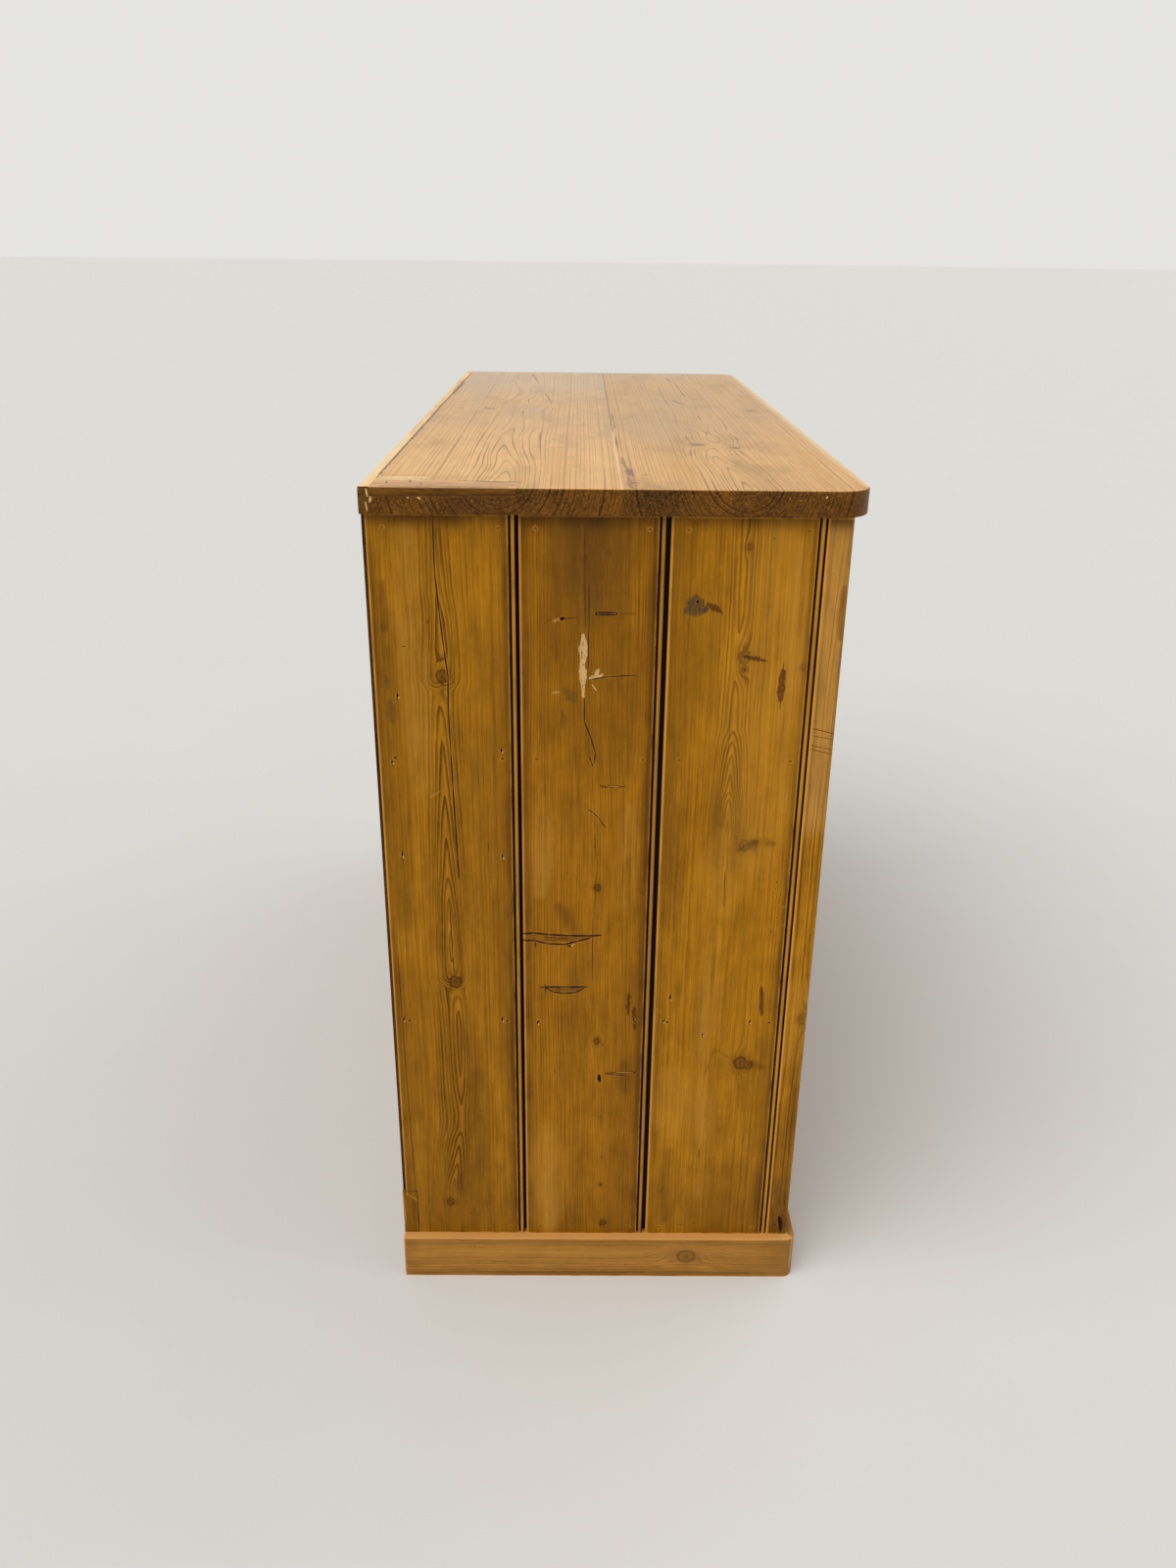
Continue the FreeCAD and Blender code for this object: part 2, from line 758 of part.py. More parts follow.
def corner_blocks():
    """Triangular glue blocks inside the plinth's four corners, a little below its top."""
    side = "dim.corner_block"
    left = f"dim.plinth_thickness - {PLINTH_HALF}"
    height = "dim.plinth_height - dim.plinth_arris"
    front = new_body("front_corner_block", left, f"{PLINTH_FRONT} + dim.plinth_thickness", "0")
    pad(front, "plan", [("0", "0"), (side, "0"), ("0", side)], height)
    back = new_body("back_corner_block", left, f"{REAR} - dim.plinth_thickness - {side}", "0")
    pad(back, "plan", [("0", "0"), (side, side), ("0", side)], height)
    keep(group("plinth_corner_blocks", front, back,
               mirror("right_front_corner_block", front), mirror("right_back_corner_block", back)))


# Face frame: rails tenoned into the stiles, which are grooved behind for the end boards

def frame_rail(label, level, height, haunch_below):
    inner = f"({HALF} - dim.frame_stile_width)"
    rail = new_body(label, f"-{inner}", FACE, level)
    pad(rail, "side", rectangle("0", "0", "dim.frame_thickness", height), f"2 * {inner}")
    near = "((dim.frame_thickness - dim.frame_tenon_thickness) / 2)"
    far = f"({near} + dim.frame_tenon_thickness)"
    foot = "dim.frame_haunch" if haunch_below else "0"
    head = height if haunch_below else f"({height} - dim.frame_haunch)"
    pad(rail, "side", rectangle(near, foot, far, head), f"2 * ({inner} + dim.frame_tenon_length)",
        "-dim.frame_tenon_length")
    return keep(rail)


def frame_stile(rails, pockets, pilots):
    wide = "dim.frame_stile_width"
    thick = "dim.frame_thickness"
    arris = "dim.frame_arris"
    floor = f"({thick} - dim.tongue_length + dim.stile_gap - dim.groove_slack)"
    blank = new_body("frame_stile_blank", f"-{HALF}", FACE, "dim.plinth_height")
    pad(blank, "plan", [
        (arris, "0"),
        (wide, "0"),
        (wide, thick),
        (GROOVE_FAR, thick),
        (GROOVE_FAR, floor),
        (GROOVE_NEAR, floor),
        (GROOVE_NEAR, thick),
        ("0", thick),
        ("0", arris, (arris, arris)),
    ], f"{UNDER_TOP} - dim.plinth_height")
    stile = keep(cut("frame_left_stile", blank, group("frame_rails", *rails), pockets, pilots))
    keep(mirror("frame_right_stile", stile))


# Screws and butt hinges, made for the left side

# Heading of a screw: its step along X and Y, and where its slot starts from the middle of the head
SCREW_WAYS = {
    "left": (-1, 0, ("0", "-dim.screw_slot_width / 2", "-dim.screw_head_radius")),
    "right": (1, 0, ("0", "-dim.screw_slot_width / 2", "dim.screw_head_radius")),
    "front": (0, -1, ("-dim.screw_head_radius", "0", "-dim.screw_slot_width / 2")),
}


def screw(x, y, z, heading, extra="0"):
    """A countersunk wood screw driven along a heading; extra radius makes the tool for its hole."""
    step_x, step_y, slot_start = SCREW_WAYS[heading]

    def along(distance):
        return f"{x} + ({step_x}) * ({distance})", f"{y} + ({step_y}) * ({distance})", z

    neck = f"(dim.screw_radius + {extra})"
    wide = f"(dim.screw_head_radius + {extra})"
    point = "dim.screw_length - dim.screw_point"
    solid = fuse(
        "screw_blank",
        taper("screw_head", along("0"), wide, neck, "dim.screw_head_height", heading),
        rod("screw_shank", along("dim.screw_head_height"), neck,
            f"{point} - dim.screw_head_height", heading),
        taper("screw_tip", along(point), neck, "dim.screw_radius / 4", "dim.screw_point", heading),
    )
    if extra != "0":
        return solid
    slot = block("screw_slot", ("0", "0", "0"),
                 ("2 * dim.screw_head_radius", "dim.screw_slot_width", "2 * dim.screw_slot_depth"))
    corner = [f"{base} + ({shift})" for base, shift in zip(along("-dim.screw_slot_depth"), slot_start)]
    place(slot, *corner, heading)
    return cut("screw", solid, slot)


HINGE_X = f"({DOOR_LEFT} - dim.door_gap / 2)"
HINGE_Y = f"({FACE} - dim.knuckle_radius - dim.knuckle_clearance)"
HINGE_FEET = [f"({DOOR_FOOT} + dim.hinge_inset)", f"({DOOR_HEAD} - dim.hinge_inset - dim.hinge_length)"]
KNUCKLES = 5
KNUCKLE = f"((dim.hinge_length - {KNUCKLES - 1} * dim.knuckle_clearance) / {KNUCKLES})"
LEAF_PLACES = {
    "frame": (f"({HINGE_X} - dim.door_gap / 2 - dim.leaf_thickness)", (0, 2, 4)),
    "door": (f"({HINGE_X} + dim.door_gap / 2)", (1, 3)),
}
SCREW_SPOTS = ((0.17, 0.62), (0.5, 0.38), (0.83, 0.62))


def leaf_plate(side, foot):
    """The flat of a leaf, which is also the pocket it is let into."""
    return block(f"{side}_leaf_plate", (LEAF_PLACES[side][0], FACE, foot),
                 ("dim.leaf_thickness", "dim.leaf_width", "dim.hinge_length"))


def leaf_screws(side, foot, extra="0"):
    surface = f"({HINGE_X} - dim.door_gap / 2)" if side == "frame" else f"({HINGE_X} + dim.door_gap / 2)"
    heading = "left" if side == "frame" else "right"
    return [screw(surface, f"({FACE} + {across} * dim.leaf_width)", f"({foot} + {up} * dim.hinge_length)",
                  heading, extra) for up, across in SCREW_SPOTS]


def hinge_leaf(side, foot):
    """A leaf with its share of the knuckles, bored for the pin and for its screws."""
    left, own = LEAF_PLACES[side]
    pieces = [leaf_plate(side, foot)]
    for index in own:
        level = f"({foot} + {index} * ({KNUCKLE} + dim.knuckle_clearance))"
        pieces.append(rod("knuckle", (HINGE_X, HINGE_Y, level), "dim.knuckle_radius", KNUCKLE))
        pieces.append(block("knuckle_web", (left, HINGE_Y, level),
                            ("dim.leaf_thickness", "dim.knuckle_radius + dim.knuckle_clearance", KNUCKLE)))
    bore = rod("pin_bore", (HINGE_X, HINGE_Y, foot), "dim.pin_radius + dim.pin_clearance", "dim.hinge_length")
    holes = group(f"{side}_leaf_holes", *leaf_screws(side, foot, "dim.screw_clearance"))
    return cut(f"{side}_leaf", fuse(f"{side}_leaf_blank", *pieces), bore, holes)


def hinges():
    """Both hinges of the left door: what the frame and the doors need from them."""
    made = {}
    for side in ("frame", "door"):
        screws = [one for foot in HINGE_FEET for one in leaf_screws(side, foot)]
        tools = [one for foot in HINGE_FEET for one in leaf_screws(side, foot, "dim.screw_clearance")]
        made[f"{side}_leaves"] = group(f"{side}_leaves", *[hinge_leaf(side, foot) for foot in HINGE_FEET])
        made[f"{side}_pockets"] = group(f"{side}_pockets", *[leaf_plate(side, foot) for foot in HINGE_FEET])
        made[f"{side}_screws"] = group(f"{side}_screws", *screws)
        made[f"{side}_pilots"] = group(f"{side}_pilots", *tools)
    pins = [rod("hinge_pin", (HINGE_X, HINGE_Y, foot), "dim.pin_radius", "dim.hinge_length")
            for foot in HINGE_FEET]
    made["pins"] = group("left_hinge_pins", *pins)
    for name, source in (("leaves", made["frame_leaves"]), ("screws", made["frame_screws"])):
        keep(group(f"hinge_frame_{name}", source, mirror(f"right_hinge_frame_{name}", source)))
    keep(group("hinge_pins", made["pins"], mirror("right_hinge_pins", made["pins"])))
    return made


# Doors: grooved and tenoned frames, a flat panel, mitred mouldings and a turned knob

PANEL_NEAR = "((dim.door_thickness - dim.panel_thickness) / 2 - dim.panel_clearance)"
PANEL_FAR = "((dim.door_thickness + dim.panel_thickness) / 2 + dim.panel_clearance)"
MEETING_X = f"({DOOR_LEFT} + {DOOR_WIDTH} - dim.door_stile_width)"
SIGHT_WIDTH = f"({DOOR_WIDTH} - 2 * dim.door_stile_width)"
SIGHT_HEIGHT = f"({DOOR_HEIGHT} - dim.door_top_rail - dim.door_bottom_rail)"
SIGHT_LEFT = f"({DOOR_LEFT} + dim.door_stile_width)"
SIGHT_FOOT = f"({DOOR_FOOT} + dim.door_bottom_rail)"
KNOB_X = f"({DOOR_LEFT} + {DOOR_WIDTH} - dim.door_stile_width / 2)"


def door_stile(label, left, groove_right):
    """An upright of the door, grooved along its inner edge."""
    wide = "dim.door_stile_width"
    thick = "dim.door_thickness"
    blank = new_body(label, left, FACE, DOOR_FOOT)
    if groove_right:
        floor = f"({wide} - dim.panel_groove)"
        outline = [("0", "0"), (wide, "0"), (wide, PANEL_NEAR), (floor, PANEL_NEAR), (floor, PANEL_FAR),
                   (wide, PANEL_FAR), (wide, thick), ("0", thick)]
    else:
        floor = "dim.panel_groove"
        outline = [("0", "0"), (wide, "0"), (wide, thick), ("0", thick), ("0", PANEL_FAR),
                   (floor, PANEL_FAR), (floor, PANEL_NEAR), ("0", PANEL_NEAR)]
    pad(blank, "plan", outline, DOOR_HEIGHT)
    return blank


def door_rail(label, level, height, groove_above):
    """A cross piece of the door, grooved for the panel and tenoned at both ends."""
    thick = "dim.door_thickness"
    rail = new_body(label, SIGHT_LEFT, FACE, level)
    if groove_above:
        floor = f"({height} - dim.panel_groove)"
        outline = [("0", "0"), (thick, "0"), (thick, height), (PANEL_FAR, height), (PANEL_FAR, floor),
                   (PANEL_NEAR, floor), (PANEL_NEAR, height), ("0", height)]
        foot, head = "dim.door_haunch", floor
    else:
        floor = "dim.panel_groove"
        outline = [("0", "0"), (PANEL_NEAR, "0"), (PANEL_NEAR, floor), (PANEL_FAR, floor), (PANEL_FAR, "0"),
                   (thick, "0"), (thick, height), ("0", height)]
        foot, head = floor, f"({height} - dim.door_haunch)"
    pad(rail, "side", outline, SIGHT_WIDTH)
    tenon = rectangle("(dim.door_thickness - dim.panel_thickness) / 2", foot,
                      "(dim.door_thickness + dim.panel_thickness) / 2", head)
    pad(rail, "side", tenon, f"{SIGHT_WIDTH} + 2 * dim.door_tenon_length", "-dim.door_tenon_length")
    return rail


def door_panel():
    reach = "(dim.panel_groove - dim.panel_slack)"
    return block("left_door_panel", (
        f"{SIGHT_LEFT} - {reach}",
        f"{FACE} + (dim.door_thickness - dim.panel_thickness) / 2",
        f"{SIGHT_FOOT} - {reach}",
    ), (f"{SIGHT_WIDTH} + 2 * {reach}", "dim.panel_thickness", f"{SIGHT_HEIGHT} + 2 * {reach}"))


def door_moulding(side, length, x, z, angle):
    """One mitred strip with a rounded inner arris, lying along a side of the panel."""
    strip = new_body(f"left_door_{side}_moulding", x,
                     f"{FACE} + (dim.door_thickness - dim.panel_thickness) / 2", z)
    strip.Placement = Placement(strip.Placement.Base, Rotation(Vector(0, 1, 0), angle))
    wide = "dim.moulding_width"
    pad(strip, "front", [("0", "0"), (length, "0"), (f"({length} - {wide})", wide), (wide, wide)],
        "dim.moulding_thickness")
    inner = number(wide)
    front = -number("dim.moulding_thickness")
    soften(strip, "dim.moulding_round", lambda edge: lies_at(edge, "z", inner) and lies_at(edge, "y", front))
    return strip


def door_mouldings():
    right = f"({SIGHT_LEFT} + {SIGHT_WIDTH})"
    head = f"({SIGHT_FOOT} + {SIGHT_HEIGHT})"
    return group(
        "left_door_mouldings",
        door_moulding("bottom", SIGHT_WIDTH, SIGHT_LEFT, SIGHT_FOOT, 0),
        door_moulding("right", SIGHT_HEIGHT, right, SIGHT_FOOT, -90),
        door_moulding("top", SIGHT_WIDTH, right, head, 180),
        door_moulding("left", SIGHT_HEIGHT, SIGHT_LEFT, head, 90),
    )


def door_knob():
    """A turned knob; its half section runs from the crown back to the spigot in the stile."""
    crown_radius = "((dim.knob_radius ^ 2 + dim.knob_crown ^ 2) / (2 * dim.knob_crown))"
    waist = "(dim.knob_radius - dim.knob_shoulder)"
    under = "(dim.knob_crown + dim.knob_shoulder)"
    flare = "(dim.knob_projection - dim.knob_flare)"
    foot = "(dim.knob_neck + dim.knob_flare)"
    spigot = "dim.knob_spigot_radius"
    end = "(dim.knob_projection + dim.knob_spigot_length)"
    knob = new_body("left_door_knob", KNOB_X, f"{FACE} - dim.knob_projection", "dim.knob_level")
    turn(knob, [
        ("0", "0", ("0", crown_radius)),
        ("dim.knob_radius", "dim.knob_crown", (waist, "dim.knob_crown")),
        (waist, under),
        ("dim.knob_neck", under),
        ("dim.knob_neck", flare, (foot, flare), True),
        (foot, "dim.knob_projection"),
        (spigot, "dim.knob_projection"),
        (spigot, end),
        ("0", end),
    ])
    return knob


def doors(hinge, bolt_pilots, lock_pilots, keyhole):
    """The left door's pieces, and their mirror images with the lock's cuts for the right door."""
    rails = [
        door_rail("left_door_bottom_rail", DOOR_FOOT, "dim.door_bottom_rail", True),
        door_rail("left_door_top_rail", f"({DOOR_HEAD} - dim.door_top_rail)", "dim.door_top_rail", False),
    ]
    tenons = group("left_door_rails", *rails)
    hole = rod("knob_hole", (KNOB_X, FACE, "dim.knob_level"),
               "dim.knob_spigot_radius + dim.spigot_clearance",
               "dim.knob_spigot_length + dim.spigot_clearance", "back")
    hinge_stile = cut("left_door_hinge_stile", door_stile("hinge_stile_blank", DOOR_LEFT, True),
                      tenons, hinge["door_pockets"], hinge["door_pilots"])
    meeting = cut("meeting_stile_bored", door_stile("meeting_stile_blank", MEETING_X, False), tenons, hole)
    pieces = [hinge_stile, *rails, door_panel(), door_mouldings(), door_knob()]
    for piece in pieces:
        keep(piece)
        keep(mirror(piece.Label.replace("left", "right"), piece))
    keep(cut("left_door_meeting_stile", meeting, bolt_pilots))
    keep(cut("right_door_meeting_stile", mirror("right_meeting_stile", meeting), lock_pilots, keyhole))
    keep(group("left_door_hinge_leaves", hinge["door_leaves"]))
    keep(mirror("right_door_hinge_leaves", hinge["door_leaves"]))


# Cupboard lock on the back of the right door, with its bolt drawn in

LOCK_LEFT = "(dim.door_gap / 2 + dim.lock_inset)"
LOCK_FOOT = "(dim.lock_level - dim.lock_height / 2)"
KEYHOLE_X = f"({LOCK_LEFT} + dim.keyhole_inset)"
LOCK_BOLT_Y = f"({BEHIND_DOOR} + dim.lock_plate + 2 * dim.slide_clearance)"
LOCK_BOLT_FOOT = "(dim.lock_level + dim.lock_height / 8)"


def keyhole_tool():
    """Round eye and slot, through the escutcheon and the stile and into the lock."""
    start = f"({FACE} - 2 * dim.escutcheon_thickness)"
    eye = rod("keyhole_eye", (KEYHOLE_X, start, "dim.lock_level"), "dim.keyhole_radius",
              "dim.keyhole_depth", "back")
    slot = block("keyhole_slot", (
        f"{KEYHOLE_X} - dim.keyhole_slot / 2", start, "dim.lock_level - dim.keyhole_drop",
    ), ("dim.keyhole_slot", "dim.keyhole_depth", "dim.keyhole_drop"))
    return fuse("keyhole", eye, slot)


def lock_screws(extra="0"):
    edge = "dim.lock_margin / 2"
    spots = [(LOCK_LEFT + f" + dim.lock_width - {edge}", f"{LOCK_FOOT} + {edge}"),
             (LOCK_LEFT + f" + dim.lock_width - {edge}", f"{LOCK_FOOT} + dim.lock_height - {edge}"),
             (LOCK_LEFT + f" + {edge}", f"{LOCK_FOOT} + {edge}"),
             (LOCK_LEFT + f" + {edge}", f"{LOCK_FOOT} + dim.lock_height - {edge}")]
    surface = f"({BEHIND_DOOR} + dim.lock_plate)"
    return [screw(f"({x})", surface, f"({z})", "front", extra) for x, z in spots]


def lock(keyhole, pilots):
    case = new_body("lock_case_blank", LOCK_LEFT, BEHIND_DOOR, LOCK_FOOT)
    margin = "dim.lock_margin"
    cover_right = f"(dim.lock_width - {margin})"
    cover_head = f"(dim.lock_height - {margin})"
    pad(case, "front", rectangle("0", "0", "dim.lock_width", "dim.lock_height"), "dim.lock_plate",
        backwards=True)
    pad(case, "front", rectangle("0", margin, cover_right, cover_head), "dim.lock_depth", backwards=True)
    back = number("dim.lock_depth")
    soften(case, "dim.under_arris", lambda edge: lies_at(edge, "y", back) and not lies_at(edge, "x", 0))
    room = "dim.slide_clearance"
    slot = block("lock_bolt_slot", (
        f"{LOCK_LEFT} - {room}", f"{LOCK_BOLT_Y} - {room}", f"{LOCK_BOLT_FOOT} - {room}",
    ), (
        f"dim.lock_bolt_length + 3 * {room}",
        f"dim.lock_bolt_thickness + 2 * {room}",
        f"dim.lock_bolt_height + 2 * {room}",
    ))
    keep(cut("lock_case", case, slot, pilots, keyhole))
    keep(block("lock_bolt", (LOCK_LEFT, LOCK_BOLT_Y, LOCK_BOLT_FOOT),
               ("dim.lock_bolt_length", "dim.lock_bolt_thickness", "dim.lock_bolt_height")))


def escutcheon(keyhole):
    """A plain brass plate with round ends, on the right door's face."""
    radius = "(dim.escutcheon_width / 2)"
    wide = "dim.escutcheon_width"
    head = f"(dim.escutcheon_height - {radius})"
    plate = new_body("lock_escutcheon_blank", f"{KEYHOLE_X} - {radius}", FACE,
                     "dim.lock_level - dim.escutcheon_height / 2 - dim.keyhole_drop / 4")
    pad(plate, "front", [
        ("0", radius, (radius, radius)),
        (wide, radius),
        (wide, head, (radius, head)),
        ("0", head),
    ], "dim.escutcheon_thickness")
    keep(cut("lock_escutcheon", plate, keyhole))


# Flat bolt on the back of the left door, drawn down

BOLT_X = "(-(dim.door_gap + dim.door_stile_width) / 2)"
BOLT_FOOT = f"({DOOR_HEAD} - dim.bolt_margin - dim.bolt_plate_height)"
BOLT_Y = f"({BEHIND_DOOR} + dim.bolt_plate_thickness + dim.slide_clearance)"


def bolt_screws(extra="0"):
    edge = "dim.bolt_margin / 2"
    surface = f"({BEHIND_DOOR} + dim.bolt_plate_thickness)"
    screws = []
    for side in (-1, 1):
        for level in (f"{BOLT_FOOT} + {edge}", f"{BOLT_FOOT} + dim.bolt_plate_height - {edge}"):
            x = f"({BOLT_X} + ({side}) * (dim.bolt_plate_width / 2 - {edge}))"
            screws.append(screw(x, surface, f"({level})", "front", extra))
    return screws


def flat_bolt(pilots):
    room = "dim.slide_clearance"
    channel_depth = f"(dim.bolt_thickness + 2 * {room})"
    plate = block("bolt_plate_flat", (f"{BOLT_X} - dim.bolt_plate_width / 2", BEHIND_DOOR, BOLT_FOOT),
                  ("dim.bolt_plate_width", "dim.bolt_plate_thickness", "dim.bolt_plate_height"))
    staples = []
    for level in (f"{BOLT_FOOT} + dim.staple_inset",
                  f"{BOLT_FOOT} + dim.bolt_plate_height - dim.staple_inset - dim.staple_height"):
        staples.append(block("staple", (f"{BOLT_X} - dim.staple_width / 2", BEHIND_DOOR, level), (
            "dim.staple_width",
            f"dim.bolt_plate_thickness + {channel_depth} + dim.staple_wall",
            "dim.staple_height",
        )))
    channel = block("bolt_channel", (
        f"{BOLT_X} - dim.bolt_width / 2 - {room}", f"{BOLT_Y} - {room}", BOLT_FOOT,
    ), (f"dim.bolt_width + 2 * {room}", channel_depth, "dim.bolt_plate_height"))
    keep(cut("left_door_bolt_plate", fuse("bolt_plate_blank", plate, *staples), channel, pilots))
    middle = f"{BOLT_FOOT} + dim.bolt_plate_height / 2 - dim.bolt_knob_radius * 2"
    bar = block("bolt_bar", (
        f"{BOLT_X} - dim.bolt_width / 2", BOLT_Y,
        f"{BOLT_FOOT} + dim.bolt_plate_height - dim.bolt_length",
    ), ("dim.bolt_width", "dim.bolt_thickness", "dim.bolt_length"))
    knob = rod("bolt_knob", (BOLT_X, f"{BOLT_Y} + dim.bolt_thickness / 2", middle),
               "dim.bolt_knob_radius - dim.slide_clearance",
               "dim.bolt_thickness / 2 + dim.bolt_knob_length", "back")
    keep(fuse("left_door_bolt", bar, knob))


top_front_board()
top_end_patch(top_back_board())
top_lipping()
left_nails = end_nails()
keep(group("end_nails", left_nails, mirror("right_nails", left_nails)))
ends(left_nails)
bearers(left_nails)
floor_and_shelves()
for count in range(BACK_BOARDS):
    back_board(count)
plinth()
corner_blocks()
hinge_parts = hinges()
top_rail = frame_rail("frame_top_rail", f"{UNDER_TOP} - dim.top_rail_height", "dim.top_rail_height", True)
bottom_rail = frame_rail("frame_bottom_rail", "dim.plinth_height", "dim.bottom_rail_height", False)
frame_stile([top_rail, bottom_rail], hinge_parts["frame_pockets"], hinge_parts["frame_pilots"])
keyhole_cutter = keyhole_tool()
bolt_holes = group("bolt_pilots", *bolt_screws("dim.screw_clearance"))
lock_holes = group("lock_pilots", *lock_screws("dim.screw_clearance"))
doors(hinge_parts, bolt_holes, lock_holes, keyhole_cutter)
lock(keyhole_cutter, lock_holes)
escutcheon(keyhole_cutter)
flat_bolt(bolt_holes)
keep(group("left_door_screws", hinge_parts["door_screws"], *bolt_screws()))
keep(group("right_door_screws", mirror("right_hinge_screws", hinge_parts["door_screws"]), *lock_screws()))

doc.recompute()
broken = [thing.Label for thing in doc.Objects if {"Invalid", "Error"} & set(thing.State)]
broken += [piece.Label for piece in nodes if piece.Shape.isNull() or not piece.Shape.isValid()]
if broken:
    raise RuntimeError("these objects failed: " + ", ".join(sorted(set(broken))))

os.makedirs("parts", exist_ok=True)
for piece in nodes:
    piece.Shape.exportStep(f"parts/{piece.Label}.step")
print(f"{len(nodes)} sub-parts written")
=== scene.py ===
# Looks of a pine school cupboard: waxed beaded ends, worn top, panelled doors, ironwork, plain studio.
import json
import math
import random
from dataclasses import dataclass

import bmesh
import bpy
from bpy.props import FloatProperty, FloatVectorProperty, PointerProperty
from bpy.types import Operator, Panel, PropertyGroup
from mathutils import Matrix, Vector

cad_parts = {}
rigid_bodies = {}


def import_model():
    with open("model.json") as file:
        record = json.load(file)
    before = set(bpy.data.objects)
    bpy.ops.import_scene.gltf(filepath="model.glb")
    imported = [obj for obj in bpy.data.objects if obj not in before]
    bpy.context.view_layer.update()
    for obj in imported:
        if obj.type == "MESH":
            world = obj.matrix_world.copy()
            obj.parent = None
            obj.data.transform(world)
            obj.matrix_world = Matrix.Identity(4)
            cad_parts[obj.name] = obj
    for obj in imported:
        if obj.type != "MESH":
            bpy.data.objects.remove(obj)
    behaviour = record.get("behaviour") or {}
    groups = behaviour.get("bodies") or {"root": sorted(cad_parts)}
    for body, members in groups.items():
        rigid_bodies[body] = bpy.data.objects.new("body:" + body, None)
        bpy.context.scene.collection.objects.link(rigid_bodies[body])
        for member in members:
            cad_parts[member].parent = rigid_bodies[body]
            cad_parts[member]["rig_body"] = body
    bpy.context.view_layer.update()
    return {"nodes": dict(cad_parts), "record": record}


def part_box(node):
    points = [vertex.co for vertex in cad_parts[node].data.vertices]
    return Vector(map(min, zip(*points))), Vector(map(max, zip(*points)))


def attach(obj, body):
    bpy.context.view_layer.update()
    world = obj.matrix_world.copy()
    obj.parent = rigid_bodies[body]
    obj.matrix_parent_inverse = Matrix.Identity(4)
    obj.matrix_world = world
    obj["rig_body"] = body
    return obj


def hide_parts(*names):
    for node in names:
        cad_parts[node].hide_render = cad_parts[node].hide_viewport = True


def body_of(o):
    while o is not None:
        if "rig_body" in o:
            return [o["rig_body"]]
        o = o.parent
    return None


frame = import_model()

bl_info = {
    "name": "Pine School Cupboard",
    "version": (1, 0, 0),
    "blender": (4, 5, 0),
    "location": "View3D > Sidebar > Cupboard",
    "description": "Finishes a pine school cupboard: waxed boards, worn top, ironwork and a plain studio",
    "category": "Object",
}

MM = 0.001


# Settings

def colour(title, note, value):
    """A colour that a user would change, in linear values."""
    return FloatVectorProperty(name=title, description=note, subtype="COLOR", size=3, min=0, max=1,
                               default=value)


def share(title, note, value):
    """A number from 0 to 1 that a user would change."""
    return FloatProperty(name=title, description=note, subtype="FACTOR", min=0, max=1, default=value)


def radius(title, note, value):
    """A small radius that a user would change, in millimetres here and in metres in the panel."""
    return FloatProperty(name=title, description=note, subtype="DISTANCE", unit="LENGTH", min=0, precision=4,
                         default=value * MM)


def strength(title, note, value):
    """A level of light that a user would change."""
    return FloatProperty(name=title, description=note, min=0, default=value)


def spread(title, note, value):
    """How wide a soft light is, in degrees here."""
    return FloatProperty(name=title, description=note, subtype="ANGLE", min=0, max=math.pi,
                         default=math.radians(value))


class PineSettings(PropertyGroup):
    """Colours, sheen and worn edges of the cupboard's pine."""

    end_pale: colour("End wood", "Waxed pine of the ends between its growth lines", (0.395, 0.166, 0.005))
    end_line: colour("End lines", "Growth lines of the waxed pine", (0.085, 0.027, 0.001))
    top_pale: colour("Top wood", "Worn pine of the top between its growth lines", (0.67, 0.395, 0.150))
    top_line: colour("Top lines", "Growth lines of the worn top", (0.19, 0.105, 0.060))
    top_edge: colour("Top edge", "Old finish left on the edges of the top", (0.131, 0.0485, 0.0028))
    plinth_pale: colour("Plinth wood", "Pine of the plinth between its growth lines", (0.37, 0.171, 0.034))
    plinth_line: colour("Plinth lines", "Growth lines of the plinth", (0.23, 0.10, 0.022))
    raw_pale: colour("Bare wood", "Bare pine of the inside", (0.50, 0.31, 0.135))
    raw_line: colour("Bare lines", "Growth lines of the bare pine", (0.32, 0.165, 0.06))
    back_pale: colour("Back wood", "Dusty bare pine of the back", (0.36, 0.235, 0.12))
    back_line: colour("Back lines", "Growth lines of the back", (0.22, 0.125, 0.055))
    knob_wood: colour("Knob wood", "Polished wood of the knobs", (0.185, 0.076, 0.011))
    wax_roughness: share("Wax", "Roughness of the waxed pine", 0.46)
    top_roughness: share("Worn wax", "Roughness of the worn top", 0.40)
    bare_roughness: share("Bare", "Roughness of bare pine", 0.72)
    knob_roughness: share("Polish", "Roughness of the polished knobs", 0.27)
    wax_gloss: share("Wax gloss", "How strongly waxed and bare pine reflects", 0.09)
    top_gloss: share("Top gloss", "How strongly the worn top reflects", 0.14)
    knob_gloss: share("Knob gloss", "How strongly the knobs reflect", 0.22)
    end_arris: radius("End edges", "Radius worn on the edges of the ends and the face frame", 0.9)
    top_arris: radius("Top edges", "Radius worn on the edges of the top", 1.8)
    door_arris: radius("Door edges", "Radius worn on the edges of the doors", 0.8)
    plinth_arris: radius("Plinth edges", "Radius worn on the edges of the plinth", 1.0)


class MetalSettings(PropertyGroup):
    """Colours and polish of the cupboard's ironwork and brass."""

    iron: colour("Iron", "Dark aged iron", (0.105, 0.084, 0.064))
    rust: colour("Rust", "Rust on the iron", (0.115, 0.048, 0.02))
    brass: colour("Brass", "Rubbed brass", (0.40, 0.255, 0.085))
    tarnish: colour("Tarnish", "Tarnish on the brass", (0.12, 0.07, 0.024))
    iron_roughness: share("Iron polish", "Roughness of clean iron", 0.42)
    rust_roughness: share("Rust roughness", "Roughness of rust", 0.7)
    brass_roughness: share("Brass polish", "Roughness of clean brass", 0.30)
    tarnish_roughness: share("Tarnish roughness", "Roughness of tarnish", 0.55)


